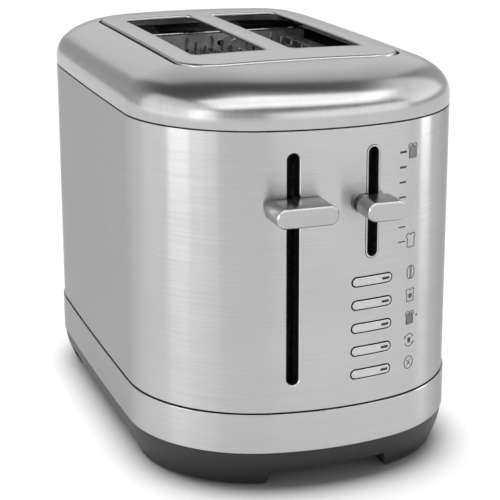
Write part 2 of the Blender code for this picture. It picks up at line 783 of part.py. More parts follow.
def build_foot(name, place, material):
    profile = [(FOOT_RADIUS - 0.0008, 0.0), (FOOT_RADIUS, 0.0008), (FOOT_RADIUS, FOOT_HEIGHT)]
    turns = [2 * math.pi * step / 24 for step in range(24)]
    rings = [[(place[0] + radius * math.cos(turn), place[1] + radius * math.sin(turn), height)
              for turn in turns] for radius, height in profile]
    return loft(name, rings, material, origin=place)


def build_screw(name, place, material):
    """Screw head with a cross recess in its underside."""
    head = cylinder(name, place, SCREW_RADIUS, SCREW_BOTTOM, SCREW_TOP, material, 20, place)
    arm = 0.0019
    thin = 0.0004
    cross = [(-thin, -arm), (thin, -arm), (thin, -thin), (arm, -thin), (arm, thin), (thin, thin),
             (thin, arm), (-thin, arm), (-thin, thin), (-arm, thin), (-arm, -thin), (-thin, -thin)]
    cross = [(place[0] + x, place[1] + y) for x, y in cross]
    cut(head, prism("cross_cutter_" + name, cross, "Z", SCREW_BOTTOM - 0.001, SCREW_BOTTOM + 0.0009,
                    None))


# ---------------------------------------------------------------- crumb tray
def build_crumb_tray(sheet, plastic):
    frame = moving_frame("crumb_tray_frame", (0.0, TRAY_REAR_Y, TRAY_BOTTOM))
    tray = block("crumb_tray", (-TRAY_HALF_X, TRAY_FRONT_Y, TRAY_BOTTOM),
                 (TRAY_HALF_X, TRAY_REAR_Y, TRAY_TOP), sheet, origin=frame.location)
    hollow = block("tray_hollow",
                   (TRAY_SHEET - TRAY_HALF_X, TRAY_FRONT_Y + TRAY_SHEET, TRAY_BOTTOM + TRAY_SHEET),
                   (TRAY_HALF_X - TRAY_SHEET, TRAY_REAR_Y - TRAY_SHEET, TRAY_TOP + CUTTER_REACH), None)
    cut(tray, hollow)
    grip_front = TRAY_REAR_Y + JOIN_GAP
    steps = 12
    rear = []
    for step in range(steps + 1):
        x = -TRAY_HALF_X + 2 * TRAY_HALF_X * step / steps
        rear.append((x, -front_point(x, -(GRIP_REAR_Y - HALF_DEPTH))[1]))
    polygon = [(TRAY_HALF_X, grip_front), *reversed(rear), (-TRAY_HALF_X, grip_front)]
    grip = prism("crumb_tray_grip", polygon, "Z", TRAY_BOTTOM, BASE_TOP - 0.0007, plastic,
                 origin=frame.location)
    parent_to(frame, tray, grip)


# ---------------------------------------------------------------- chassis and heating
def chassis_polygon(top):
    """End plate with two legs that straddle the crumb tray, as (x, z)."""
    leg, side, foot = CHASSIS_LEG_X, CHASSIS_HALF_X, FLOOR_TOP + JOIN_GAP
    return [(-side, foot), (-leg, foot), (-leg, CHASSIS_BOTTOM), (leg, CHASSIS_BOTTOM),
            (leg, foot), (side, foot), (side, top), (-side, top)]


def build_chassis(material):
    front = prism("front_chassis_plate", chassis_polygon(FRONT_PLATE_TOP), "Y",
                  FRONT_PLATE_Y, FRONT_PLATE_Y + CHASSIS_SHEET, material)
    rear = prism("rear_chassis_plate", chassis_polygon(REAR_PLATE_TOP), "Y",
                 REAR_PLATE_Y, REAR_PLATE_Y + CHASSIS_SHEET, material)
    for side in (-1, 1):
        x = side * SLOT_CENTRE_X
        for plate, y in ((front, FRONT_PLATE_Y), (rear, REAR_PLATE_Y)):
            cut(plate, block("rack_slot_%d" % side,
                             (x - RACK_SLOT_HALF, y - CUTTER_REACH, RACK_SLOT_BOTTOM),
                             (x + RACK_SLOT_HALF, y + CUTTER_REACH, RACK_SLOT_TOP), None))
    for side, name in ((-1, "left"), (1, "right")):
        build_side_shield(side, name, material)


def build_side_shield(side, name, material):
    """Bent steel sheet between the heater and the casing, with a flange along its top."""
    inner, outer = SHIELD_X - CHASSIS_SHEET / 2, SHIELD_X + CHASSIS_SHEET / 2
    flange = OUTER_HEATER_X + 0.0015
    polygon = [(outer, CHASSIS_BOTTOM), (outer, FRONT_PLATE_TOP), (flange, FRONT_PLATE_TOP),
               (flange, FRONT_PLATE_TOP - CHASSIS_SHEET), (inner, FRONT_PLATE_TOP - CHASSIS_SHEET),
               (inner, CHASSIS_BOTTOM)]
    polygon = [(side * x, z) for x, z in polygon]
    prism("side_heat_shield_" + name, polygon, "Y", FRONT_PLATE_Y + CHASSIS_SHEET + JOIN_GAP,
          REAR_PLATE_Y - JOIN_GAP, material)


def ribbon(path, width):
    """Closed polygon of a path with square corners, given a width."""
    sides = []
    for offset in (width / 2, -width / 2):
        edge = []
        for index, point in enumerate(path):
            before = Vector(path[max(index - 1, 0)])
            after = Vector(path[min(index + 1, len(path) - 1)])
            here = Vector(point)
            shift = Vector((0.0, 0.0))
            for step in (here - before, after - here):
                if step.length > 0:
                    normal = Vector((-step.y, step.x)).normalized()
                    shift += normal * (1.0 if shift.dot(normal) < 0.5 else 0.0)
            edge.append(tuple(here + shift * offset))
        sides.append(edge)
    return sides[0] + sides[1][::-1]


def element_path():
    """Serpentine of the heating ribbon over a heater board, as (y, z)."""
    front, rear = HEATER_FRONT_Y + RIBBON_MARGIN_Y, HEATER_REAR_Y - RIBBON_MARGIN_Y
    bottom, top = HEATER_BOTTOM + RIBBON_MARGIN_BOTTOM, HEATER_TOP - RIBBON_MARGIN_TOP
    path = []
    for row in range(RIBBON_ROWS):
        z = bottom + (top - bottom) * row / (RIBBON_ROWS - 1)
        ends = [(front, z), (rear, z)]
        path += ends if row % 2 == 0 else ends[::-1]
    return path


def build_heaters(mica, element):
    """Three mica boards and the flat resistance ribbon on each of their four heated faces."""
    half = HEATER_SHEET / 2
    places = [("outer_left", -OUTER_HEATER_X), ("centre", 0.0), ("outer_right", OUTER_HEATER_X)]
    for name, x in places:
        block("heater_board_" + name, (x - half, HEATER_FRONT_Y, HEATER_BOTTOM),
              (x + half, HEATER_REAR_Y, HEATER_TOP), mica)
    polygon = ribbon(element_path(), RIBBON_WIDTH)
    faces = [("outer_left", -OUTER_HEATER_X, 1), ("centre_left", 0.0, -1),
             ("centre_right", 0.0, 1), ("outer_right", OUTER_HEATER_X, -1)]
    for name, x, facing in faces:
        near = x + facing * (half + JOIN_GAP)
        prism("heating_element_" + name, polygon, "X", near, near + facing * RIBBON_THICKNESS, element)


def build_bread_guards(material):
    """Four wire guards that close in on the bread as the racks go down."""
    columns = bar_edges(FRONT_PLATE_Y + CHASSIS_SHEET + GUARD_END_GAP, REAR_PLATE_Y - GUARD_END_GAP,
                        GUARD_WIRES, GUARD_WIRE)
    rows = bar_edges(GUARD_BOTTOM, GUARD_TOP, 3, GUARD_WIRE)
    places = [("left_outer", -GUARD_OUTER_X), ("left_inner", -GUARD_INNER_X),
              ("right_inner", GUARD_INNER_X), ("right_outer", GUARD_OUTER_X)]
    for name, x in places:
        cell_plate("bread_guard_" + name, columns, rows,
                   lambda column, row: column % 2 == 0 or row % 2 == 0, "X",
                   x - GUARD_WIRE / 2, x + GUARD_WIRE / 2, material, origin=(x, 0.0, GUARD_TOP))


# ---------------------------------------------------------------- lift mechanism
def build_bread_rack(name, x, material):
    """Toothed rail under a slice, with a tongue through each end plate."""
    front = FRONT_PLATE_Y + CHASSIS_SHEET + RACK_END_GAP
    teeth = bar_edges(front, REAR_PLATE_Y - RACK_END_GAP, RACK_TEETH, RACK_TOOTH)
    rows = [CARRIAGE_REAR_Y + JOIN_GAP, *teeth, REAR_PLATE_Y + RACK_TONGUE_REACH]
    columns = [x - RACK_HALF_X, x - RACK_TONGUE_HALF, x + RACK_TONGUE_HALF, x + RACK_HALF_X]
    return cell_plate(name, columns, rows, lambda column, row: column == 1 or row % 2 == 1, "Z",
                      RACK_TOP - RACK_THICKNESS, RACK_TOP, material, origin=(x, 0.0, RACK_TOP))


def build_carriage(material, origin):
    """Sliding plate with the bush for the guide rod and the tab that the spring pulls on."""
    rear = CARRIAGE_REAR_Y
    front = rear - CARRIAGE_THICKNESS
    plate = block("lift_carriage", (-CARRIAGE_HALF_X, front, CARRIAGE_BOTTOM),
                  (CARRIAGE_HALF_X, rear, CARRIAGE_TOP), material, origin=origin)
    bush = cylinder("carriage_bush_form", (ROD_X, ROD_Y), BUSH_RADIUS, CARRIAGE_BOTTOM + 0.001,
                    CARRIAGE_TOP - 0.001, None)
    web = block("carriage_web_form", (ROD_X - 0.0020, ROD_Y, CARRIAGE_BOTTOM + 0.002),
                (ROD_X + 0.0020, rear - CARRIAGE_THICKNESS / 2, CARRIAGE_TOP - 0.002), None)
    tab = block("spring_tab_form", (SPRING_X - 0.0045, ROD_Y - SPRING_RADIUS - 0.001,
                                    SPRING_BOTTOM - 0.0016),
                (SPRING_X + 0.0045, rear - CARRIAGE_THICKNESS / 2, SPRING_BOTTOM - 0.0004), None)
    for form in (bush, web, tab):
        combine(plate, form, "UNION")
    cut(plate, cylinder("rod_bore", (ROD_X, ROD_Y), ROD_RADIUS + JOIN_GAP,
                        CARRIAGE_BOTTOM - 0.01, CARRIAGE_TOP + 0.01, None))
    return plate


def build_lever_arm(material, origin):
    """Steel arm bolted to the carriage that reaches out through the panel slot."""
    rear = CARRIAGE_REAR_Y - CARRIAGE_THICKNESS - JOIN_GAP
    left, right = LEVER_X - LEVER_ARM_HALF_X, LEVER_X + LEVER_ARM_HALF_X
    polygon = [(left, LIFT_KNOB_BACK_Y + JOIN_GAP), (right, LIFT_KNOB_BACK_Y + JOIN_GAP),
               (right, rear), (left - 0.0100, rear), (left - 0.0100, rear - 0.0020),
               (left, rear - 0.0020)]
    return prism("lever_arm", polygon, "Z", LEVER_Z - LEVER_ARM_HALF_Z, LEVER_Z + LEVER_ARM_HALF_Z,
                 material, origin=origin)


def knob_ring(x, z, width, inset, y):
    """Rounded block outline in the XZ plane."""
    half_x, half_z = width / 2 - inset, KNOB_HEIGHT / 2 - inset
    radius = KNOB_ROUNDING - inset
    ring = []
    corners = [(1, 1, 0.0), (-1, 1, 0.5), (-1, -1, 1.0), (1, -1, 1.5)]
    for side_x, side_z, start in corners:
        for step in range(7):
            angle = math.pi * (start + 0.5 * step / 6)
            ring.append((x + side_x * (half_x - radius) + radius * math.cos(angle), y,
                         z + side_z * (half_z - radius) + radius * math.sin(angle)))
    return ring


def build_knob(name, x, z, width, back, front, material):
    chamfer = KNOB_CHAMFER
    levels = [(0.0004, back), (0.0, back - 0.0004), (0.0, front + chamfer),
              (chamfer * 0.3, front + chamfer * 0.3), (chamfer, front)]
    rings = [knob_ring(x, z, width, inset, y) for inset, y in levels]
    return loft(name, rings, material, origin=(x, back, z))


def build_lift(steel, plated, knob_metal):
    frame = moving_frame("lift_frame", (LEVER_X, LIFT_KNOB_BACK_Y, LEVER_Z))
    place = frame.location
    pieces = [build_bread_rack("bread_rack_left", -SLOT_CENTRE_X, plated),
              build_bread_rack("bread_rack_right", SLOT_CENTRE_X, plated),
              build_carriage(plated, place),
              build_lever_arm(steel, place),
              build_knob("lift_knob", LEVER_X, LEVER_Z, LIFT_KNOB_WIDTH, LIFT_KNOB_BACK_Y,
                         LIFT_KNOB_FRONT_Y, knob_metal),
              build_armature(steel, place)]
    parent_to(frame, *pieces)


def build_armature(material, origin):
    """Plate on the carriage that the magnet holds when the rack is down."""
    bottom = CARRIAGE_BOTTOM + CARRIAGE_THICKNESS
    low = (MAGNET_X - MAGNET_HALF_X, MAGNET_Y - MAGNET_HALF_Y - COIL_WALL, bottom)
    high = (MAGNET_X + MAGNET_HALF_X, CARRIAGE_REAR_Y - CARRIAGE_THICKNESS - JOIN_GAP,
            bottom + ARMATURE_THICKNESS)
    return block("armature_plate", low, high, material, origin=origin)


def build_guide_rod(material):
    cylinder("guide_rod", (ROD_X, ROD_Y), ROD_RADIUS, FLOOR_TOP + JOIN_GAP, ROD_TOP, material,
             sides=24)


def build_rod_bracket(material):
    """Angle on the front end plate that steadies the rod and anchors the spring."""
    rear = FRONT_PLATE_Y - JOIN_GAP
    bottom = ROD_TOP + JOIN_GAP
    top = FRONT_PLATE_TOP - BRACKET_SHEET
    bend_y, bend_z = rear - BRACKET_SHEET, bottom + BRACKET_SHEET
    front = ROD_Y - BRACKET_REACH
    polygon = [(rear, bottom), (rear, top), (bend_y, top), (bend_y, bend_z), (front, bend_z),
               (front, bottom)]
    prism("rod_bracket", polygon, "X", SPRING_X - BRACKET_REACH, ROD_X + BRACKET_REACH, material)


def build_return_spring(material):
    """Tension spring between the carriage tab and the rod bracket."""
    bottom, top = SPRING_BOTTOM, ROD_TOP - 0.0004
    steps_per_turn, sides = 9, 5
    total = SPRING_TURNS * steps_per_turn
    rings = []
    for step in range(total + 1):
        turn = 2 * math.pi * step / steps_per_turn
        height = bottom + SPRING_WIRE + (top - bottom - 2 * SPRING_WIRE) * step / total
        ring = []
        for side in range(sides):
            around = 2 * math.pi * side / sides
            radius = SPRING_RADIUS + SPRING_WIRE * math.cos(around)
            ring.append((SPRING_X + radius * math.cos(turn), ROD_Y + radius * math.sin(turn),
                         height + SPRING_WIRE * math.sin(around)))
        rings.append(ring)
    loft("return_spring", rings, material, origin=(SPRING_X, ROD_Y, top))


def build_magnet(steel, copper):
    """Electromagnet that holds the carriage down: a laminated core with its coil."""
    bottom = FLOOR_TOP + JOIN_GAP
    yoke = bottom + MAGNET_YOKE
    inside = MAGNET_HALF_X - MAGNET_LEG
    right = [(MAGNET_HALF_X, bottom), (MAGNET_HALF_X, MAGNET_TOP), (inside, MAGNET_TOP),
             (inside, yoke), (MAGNET_CORE_HALF_X, yoke), (MAGNET_CORE_HALF_X, MAGNET_TOP)]
    polygon = [(MAGNET_X + x, z) for x, z in right] + [(MAGNET_X - x, z) for x, z in reversed(right)]
    prism("magnet_core", polygon, "Y", MAGNET_Y - MAGNET_HALF_Y, MAGNET_Y + MAGNET_HALF_Y, steel)
    low, high = yoke + JOIN_GAP, MAGNET_TOP - MAGNET_CORE_HALF_X
    rings = []
    for grow, z in ((0.0, low), (COIL_WALL, low), (COIL_WALL, high), (0.0, high)):
        half_x = MAGNET_CORE_HALF_X + JOIN_GAP + grow
        half_y = MAGNET_HALF_Y + JOIN_GAP + grow
        rings.append([(MAGNET_X + sx * half_x, MAGNET_Y + sy * half_y, z)
                      for sx, sy in ((1, 1), (-1, 1), (-1, -1), (1, -1))])
    loft("magnet_coil", rings, copper, closed=True)


# ---------------------------------------------------------------- controls
def build_trim(name, x, bottom, top, width, wall, material):
    """Thin frame that lines a slot of the panel and stands just proud of it."""
    levels = [(wall, SHEET + 0.0004), (wall, 0.0), (wall - 0.0002, -TRIM_PROUD),
              (0.0001, -TRIM_PROUD), (0.0, 0.0), (0.0, TRIM_DEPTH), (wall, TRIM_DEPTH)]
    return panel_pill(name, x, (bottom + top) / 2, width, top - bottom, levels, material, closed=True)


def build_button(name, z, material):
    levels = [(-0.0005, -BUTTON_PROUD), (-0.0002, -BUTTON_PROUD + 0.0001), (0.0, 0.0001),
              (0.0, BUTTON_DEPTH)]
    return panel_pill(name, BUTTON_X, z, BUTTON_WIDTH, BUTTON_HEIGHT, levels, material)


def build_controls(button_metal, window_plastic):
    """Five push buttons, each with the small window of its indicator light."""
    for index, function in enumerate(BUTTON_NAMES):
        z = BUTTON_TOP_Z - index * BUTTON_PITCH
        frame = moving_frame("button_frame_%s" % function, (BUTTON_X, front_point(BUTTON_X)[1], z))
        button = build_button("button_" + function, z, button_metal)
        window_x = BUTTON_X + WINDOW_OFFSET_X
        seat_levels = [(JOIN_GAP / 2, -0.002), (JOIN_GAP / 2, WINDOW_DEPTH + JOIN_GAP / 2)]
        cut(button, panel_pill("window_seat_" + function, window_x, z, WINDOW_WIDTH, WINDOW_HEIGHT,
                               seat_levels, None))
        window_levels = [(0.0, -BUTTON_PROUD + 0.0001), (0.0, WINDOW_DEPTH)]
        window = panel_pill("light_window_" + function, window_x, z, WINDOW_WIDTH, WINDOW_HEIGHT,
                            window_levels, window_plastic)
        parent_to(frame, button, window)


def build_fascia(material):
    """Moulded carrier behind the steel front that guides the buttons and the sliders."""
    steps = 12
    xs = [FASCIA_LEFT_X + (FASCIA_RIGHT_X - FASCIA_LEFT_X) * step / steps for step in range(steps + 1)]
    polygon = [front_point(x, FASCIA_FACE) for x in xs]
    polygon += [front_point(x, FASCIA_BACK) for x in reversed(xs)]
    fascia = prism("control_fascia", polygon, "Z", FASCIA_BOTTOM, FASCIA_TOP, material)
    lever_room = 2 * (LEVER_TRIM + JOIN_GAP)
    shade_room = 2 * (SHADE_TRIM + JOIN_GAP)
    cut(fascia,
        panel_cutter("fascia_lever_cutter", LEVER_X, (LEVER_SLOT_TOP + LEVER_SLOT_BOTTOM) / 2,
                     LEVER_SLOT_WIDTH + lever_room, LEVER_SLOT_TOP - LEVER_SLOT_BOTTOM + lever_room),
        panel_cutter("fascia_shade_cutter", SHADE_X, (SHADE_SLOT_TOP + SHADE_SLOT_BOTTOM) / 2,
                     SHADE_SLOT_WIDTH + shade_room, SHADE_SLOT_TOP - SHADE_SLOT_BOTTOM + shade_room))
    for index in range(len(BUTTON_NAMES)):
        cut(fascia, panel_cutter("fascia_button_cutter_%d" % (index + 1), BUTTON_X,
                                 BUTTON_TOP_Z - index * BUTTON_PITCH,
                                 BUTTON_WIDTH + 2 * BUTTON_GAP, BUTTON_HEIGHT + 2 * BUTTON_GAP))


def build_electronics(board_green, dark_plastic, knob_metal):
    """Boards behind the panel and the shade slider."""
    block("control_board", (BOARD_X[0], BOARD_FRONT_Y, BOARD_Z[0]),
          (BOARD_X[1], BOARD_FRONT_Y + BOARD_THICKNESS, BOARD_Z[1]), board_green)
    block("power_board", (POWER_BOARD_X, POWER_BOARD_Y[0], POWER_BOARD_Z[0]),
          (POWER_BOARD_X + BOARD_THICKNESS, POWER_BOARD_Y[1], POWER_BOARD_Z[1]), board_green)
    pot_rear = BOARD_FRONT_Y - JOIN_GAP
    pot_front = pot_rear - POT_DEPTH
    pot = block("shade_slide_pot", (SHADE_X - POT_HALF_X, pot_front, POT_Z[0]),
                (SHADE_X + POT_HALF_X, pot_rear, POT_Z[1]), dark_plastic, bevel=0.0004)
    track_end = 2 * POT_TRACK_HALF_X
    cut(pot, block("pot_track", (SHADE_X - POT_TRACK_HALF_X, pot_front - CUTTER_REACH,
                                 POT_Z[0] + track_end),
                   (SHADE_X + POT_TRACK_HALF_X, pot_front + POT_TRACK_DEPTH, POT_Z[1] - track_end),
                   None))
    build_shade_slider(pot_front, dark_plastic, knob_metal)


def build_shade_slider(pot_front, dark_plastic, knob_metal):
    """Stem whose thin blade runs in the slide pot, with the knob on its front."""
    frame = moving_frame("shade_frame", (SHADE_X, SHADE_KNOB_BACK_Y, SHADE_Z))
    shoulder = pot_front - 2 * JOIN_GAP
    right = [(STEM_BLADE_HALF_X, pot_front + STEM_BLADE_REACH), (STEM_BLADE_HALF_X, shoulder),
             (STEM_HALF_X, shoulder - 0.0010), (STEM_HALF_X, SHADE_KNOB_BACK_Y + JOIN_GAP)]
    stem = [(SHADE_X + x, y) for x, y in right] + [(SHADE_X - x, y) for x, y in reversed(right)]
    slider = prism("shade_slider_stem", stem, "Z", SHADE_Z - STEM_HALF_Z, SHADE_Z + STEM_HALF_Z,
                   dark_plastic, origin=frame.location)
    knob = build_knob("shade_knob", SHADE_X, SHADE_Z, SHADE_KNOB_WIDTH, SHADE_KNOB_BACK_Y,
                      SHADE_KNOB_FRONT_Y, knob_metal)
    parent_to(frame, slider, knob)


# ---------------------------------------------------------------- assembly
def clear_scene():
    for old in list(bpy.data.objects):
        bpy.data.objects.remove(old, do_unlink=True)


def build_toaster():
    brushed = make_material("brushed_stainless", (0.56, 0.56, 0.56), 0.34, 1.0)
    satin = make_material("satin_cast_metal", (0.60, 0.60, 0.60), 0.30, 1.0)
    charcoal = make_material("charcoal_plastic", (0.045, 0.045, 0.047), 0.50, 0.0)
    black = make_material("black_plastic", (0.010, 0.010, 0.010), 0.55, 0.0)
    rubber = make_material("black_rubber", (0.018, 0.018, 0.018), 0.80, 0.0)
    plated = make_material("zinc_plated_steel", (0.42, 0.42, 0.41), 0.42, 1.0)
    steel = make_material("plain_steel", (0.50, 0.50, 0.50), 0.30, 1.0)
    mica = make_material("mica_board", (0.33, 0.27, 0.19), 0.60, 0.0)
    element = make_material("resistance_ribbon", (0.30, 0.26, 0.23), 0.50, 1.0)
    copper = make_material("copper_winding", (0.62, 0.28, 0.14), 0.40, 1.0)
    board = make_material("circuit_board_green", (0.03, 0.16, 0.06), 0.50, 0.0)
    knob_metal = make_material("satin_knob_metal", (0.60, 0.60, 0.60), 0.28, 1.0)
    window = make_material("smoked_window", (0.012, 0.012, 0.012), 0.25, 0.0)

    build_top_cover(satin)
    build_slot_plate(satin)
    build_body_wrap(brushed)
    build_lower_band(brushed)
    build_base(charcoal)
    build_feet_and_screws(rubber, steel)
    build_crumb_tray(plated, charcoal)
    build_cord_gland(black)
    build_chassis(plated)
    build_heaters(mica, element)
    build_bread_guards(steel)
    build_lift(steel, plated, knob_metal)
    build_guide_rod(steel)
    build_rod_bracket(plated)
    build_return_spring(steel)
    build_magnet(steel, copper)
    build_trim("lever_slot_trim", LEVER_X, LEVER_SLOT_BOTTOM, LEVER_SLOT_TOP, LEVER_SLOT_WIDTH,
               LEVER_TRIM, black)
    build_trim("shade_slot_trim", SHADE_X, SHADE_SLOT_BOTTOM, SHADE_SLOT_TOP, SHADE_SLOT_WIDTH,
               SHADE_TRIM, knob_metal)
    build_fascia(black)
    build_controls(knob_metal, window)
    build_electronics(board, black, knob_metal)


def centre_on_origin():
    """Hang everything on one frame that puts the origin under the middle of the toaster."""
    loose = [piece for piece in bpy.data.objects if piece.parent is None]
    toaster = moving_frame("toaster_frame", (0.0, BODY_SHIFT_Y, 0.0))
    for piece in loose:
        piece.parent = toaster


clear_scene()
build_toaster()
centre_on_origin()
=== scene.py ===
"""Looks of the pop-up toaster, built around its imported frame.

Builders work in body coordinates: Y is measured from the middle of the body, so that
the front and the rear of the casing mirror each other. new_piece() adds that offset.
"""

import json
import math
from functools import partial

import bmesh
import bpy
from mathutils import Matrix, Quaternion, Vector
from mathutils.geometry import delaunay_2d_cdt


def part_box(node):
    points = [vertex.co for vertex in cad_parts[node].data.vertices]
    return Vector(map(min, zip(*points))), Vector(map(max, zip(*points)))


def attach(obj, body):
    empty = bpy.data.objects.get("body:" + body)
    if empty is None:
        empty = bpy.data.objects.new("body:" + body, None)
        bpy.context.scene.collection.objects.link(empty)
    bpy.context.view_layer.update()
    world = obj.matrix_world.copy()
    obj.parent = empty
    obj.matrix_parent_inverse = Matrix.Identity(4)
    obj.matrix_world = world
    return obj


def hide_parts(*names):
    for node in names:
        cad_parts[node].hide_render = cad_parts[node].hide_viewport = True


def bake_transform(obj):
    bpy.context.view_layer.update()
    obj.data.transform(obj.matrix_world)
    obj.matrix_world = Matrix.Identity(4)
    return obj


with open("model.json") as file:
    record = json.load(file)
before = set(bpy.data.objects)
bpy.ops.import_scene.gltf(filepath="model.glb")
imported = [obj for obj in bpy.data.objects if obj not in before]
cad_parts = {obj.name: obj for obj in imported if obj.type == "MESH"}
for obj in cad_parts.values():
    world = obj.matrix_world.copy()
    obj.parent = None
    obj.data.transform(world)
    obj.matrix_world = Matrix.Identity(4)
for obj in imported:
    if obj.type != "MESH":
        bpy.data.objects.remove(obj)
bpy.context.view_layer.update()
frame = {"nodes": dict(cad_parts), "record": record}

# ---------------- sizes read from the frame
WRAP_LOW, WRAP_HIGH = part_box("body_wrap")
BAND_LOW, BAND_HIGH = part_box("lower_band")
COVER_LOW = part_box("top_cover")[0]
PLATE_LOW, PLATE_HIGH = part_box("slot_plate")
BASE_LOW, BASE_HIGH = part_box("base_housing")
MIDDLE_Y = (WRAP_LOW.y + WRAP_HIGH.y) / 2
HALF_WIDTH = (WRAP_HIGH.x - WRAP_LOW.x) / 2
HALF_DEPTH = (WRAP_HIGH.y - WRAP_LOW.y) / 2
BAND_PROUD = (BAND_HIGH.x - BAND_LOW.x) / 2 - HALF_WIDTH
PLATE_HALF_X = PLATE_HIGH.x
PLATE_HALF_Y = (PLATE_HIGH.y - PLATE_LOW.y) / 2

# ---------------- sizes of the looks
END_RADIUS = 0.1467        # bow of the front and rear faces
SIDE_RADIUS = 3.94
CORNER_RADIUS = 0.0711
END_STEPS = 24             # facets in half an end arc, a corner arc and half a side arc
CORNER_STEPS = 40
SIDE_STEPS = 16
SHEET = 0.0008
BAND_WALL = 0.0022
GAP = 0.0003

COVER_WALL_HEIGHT = 0.0038
COVER_RISE = 0.0185
COVER_REACH = 0.0340
COVER_POWER = 2.4
COVER_SLOPE = 0.03
COVER_FLARE = 0.0020       # extra rise towards the opening
COVER_THICKNESS = 0.0015
COVER_LIP_BOTTOM = 0.2080
COVER_LIP_RADIUS = 0.0010
OPENING_HALF_X = 0.0627
OPENING_HALF_Y = 0.0993
OPENING_RADIUS = 0.0220

PLATE_CROWN_X = 0.0010
PLATE_CROWN_Y = 0.0006
PLATE_CORNER = 0.0205
PLATE_ROLL = 0.0017        # rounding of the plate's outer edge
PLATE_SHEET = 0.0010
SLOT_ROLL = 0.0011         # rounding where the plate turns down into a slot
SLOT_CENTRE_X = 0.02755
SLOT_HALF_X = 0.02095
SLOT_FRONT_Y = -0.0660
SLOT_REAR_Y = 0.0757
SLOT_RADIUS = 0.0040
SLOT_LIP_BOTTOM = 0.2148

LEVER_X = -0.0221
LEVER_SLOT = (0.0062, 0.0570, 0.1781)      # width, bottom, top
SHADE_X = 0.0204
SHADE_SLOT = (0.0057, 0.1217, 0.1786)
SHADE_BEZEL = 0.0009
BUTTON_NAMES = ("bagel", "frozen", "extra", "reheat", "cancel")
BUTTON_X = 0.02105
BUTTON_SIZE = (0.0230, 0.0045)
BUTTON_GAP = 0.0006
WINDOW_OFFSET_X = 0.0078
WINDOW_SIZE = (0.0042, 0.0010)


# ---------------- outline of the body
END_CENTRE = Vector((0.0, END_RADIUS - HALF_DEPTH))
SIDE_CENTRE = Vector((HALF_WIDTH - SIDE_RADIUS, 0.0))


def corner_centre():
    """Centre of the front right corner arc, tangent to the end arc and the side arc."""
    end_reach = END_RADIUS - CORNER_RADIUS
    side_reach = SIDE_RADIUS - CORNER_RADIUS
    apart = (SIDE_CENTRE - END_CENTRE).length
    along = (end_reach ** 2 - side_reach ** 2 + apart ** 2) / (2 * apart)
    across = math.sqrt(end_reach ** 2 - along ** 2)
    direction = (SIDE_CENTRE - END_CENTRE) / apart
    normal = Vector((-direction.y, direction.x))
    foot = END_CENTRE + direction * along
    options = [foot + normal * sign * across for sign in (1, -1)]
    return max(options, key=lambda point: point.x - point.y)


CORNER_CENTRE = corner_centre()
END_ANGLE = math.atan2(CORNER_CENTRE.x, END_CENTRE.y - CORNER_CENTRE.y)
SIDE_ANGLE = math.atan2(CORNER_CENTRE.x - SIDE_CENTRE.x, -CORNER_CENTRE.y)


def arc(centre, radius, start, stop, steps):
    """Points on an arc whose angles are measured from -Y towards +X, without the last one."""
    points = []
    for step in range(steps):
        angle = start + (stop - start) * step / steps
        points.append((centre.x + radius * math.sin(angle), centre.y - radius * math.cos(angle)))
    return points


def mirrored(quadrant, tip):
    """Close a front right quadrant, from front centre to side centre, into a full outline."""
    right = quadrant + [tip] + [(x, -y) for x, y in reversed(quadrant)]
    left = [(-x, y) for x, y in reversed(right[1:-1])]
    return right + left


def outline(inset):
    """Body outline, moved in by inset, counterclockwise from the front centre."""
    quadrant = arc(END_CENTRE, END_RADIUS - inset, 0.0, END_ANGLE, END_STEPS)
    quadrant += arc(CORNER_CENTRE, CORNER_RADIUS - inset, END_ANGLE, SIDE_ANGLE, CORNER_STEPS)
    quadrant += arc(SIDE_CENTRE, SIDE_RADIUS - inset, SIDE_ANGLE, math.pi / 2, SIDE_STEPS)
    return mirrored(quadrant, (HALF_WIDTH - inset, 0.0))


def rounded_rectangle(half_x, half_y, radius, steps=(END_STEPS, CORNER_STEPS, SIDE_STEPS)):
    """Rounded rectangle, counterclockwise from the middle of its front side."""
    centre = Vector((half_x - radius, radius - half_y))
    quadrant = [(centre.x * step / steps[0], -half_y) for step in range(steps[0])]
    quadrant += arc(centre, radius, 0.0, math.pi / 2, steps[1])
    quadrant += [(half_x, centre.y * (1 - step / steps[2])) for step in range(steps[2])]
    return mirrored(quadrant, (half_x, 0.0))


def nearest_arc(x, y):
    """Offset of a point in plan from the centre of the outline's arc beside it, and the radius."""
    point = Vector((abs(x), -abs(y)))
    offset = point - CORNER_CENTRE
    angle = math.atan2(offset.x, -offset.y)
    if angle < END_ANGLE:
        return point - END_CENTRE, END_RADIUS
    if angle > SIDE_ANGLE:
        return point - SIDE_CENTRE, SIDE_RADIUS
    return offset, CORNER_RADIUS


def outline_normal(x, y):
    """Outward normal of the body outline nearest to a point in plan."""
    normal = nearest_arc(x, y)[0].normalized()
    return Vector((math.copysign(normal.x, x), math.copysign(normal.y, y)))


def inset_at(x, y):
    """Distance of a point in plan from the body outline."""
    offset, radius = nearest_arc(x, y)
    return radius - offset.length


def front_point(x, inset):
    """Point of the front face at x, moved in along the face's normal."""
    centre, radius = END_CENTRE, END_RADIUS
    if abs(x) > END_RADIUS * math.sin(END_ANGLE):
        centre = Vector((math.copysign(CORNER_CENTRE.x, x), CORNER_CENTRE.y))
        radius = CORNER_RADIUS
    across = x - centre.x
    along = -math.sqrt(radius ** 2 - across ** 2)
    scale = (radius - inset) / radius
    return centre.x + across * scale, centre.y + along * scale


def at_height(points, z):
    return [(x, y, z) for x, y in points]


def stacked(levels):
    """Rings of the body outline, one for each (inset, height)."""
    return [at_height(outline(inset), z) for inset, z in levels]


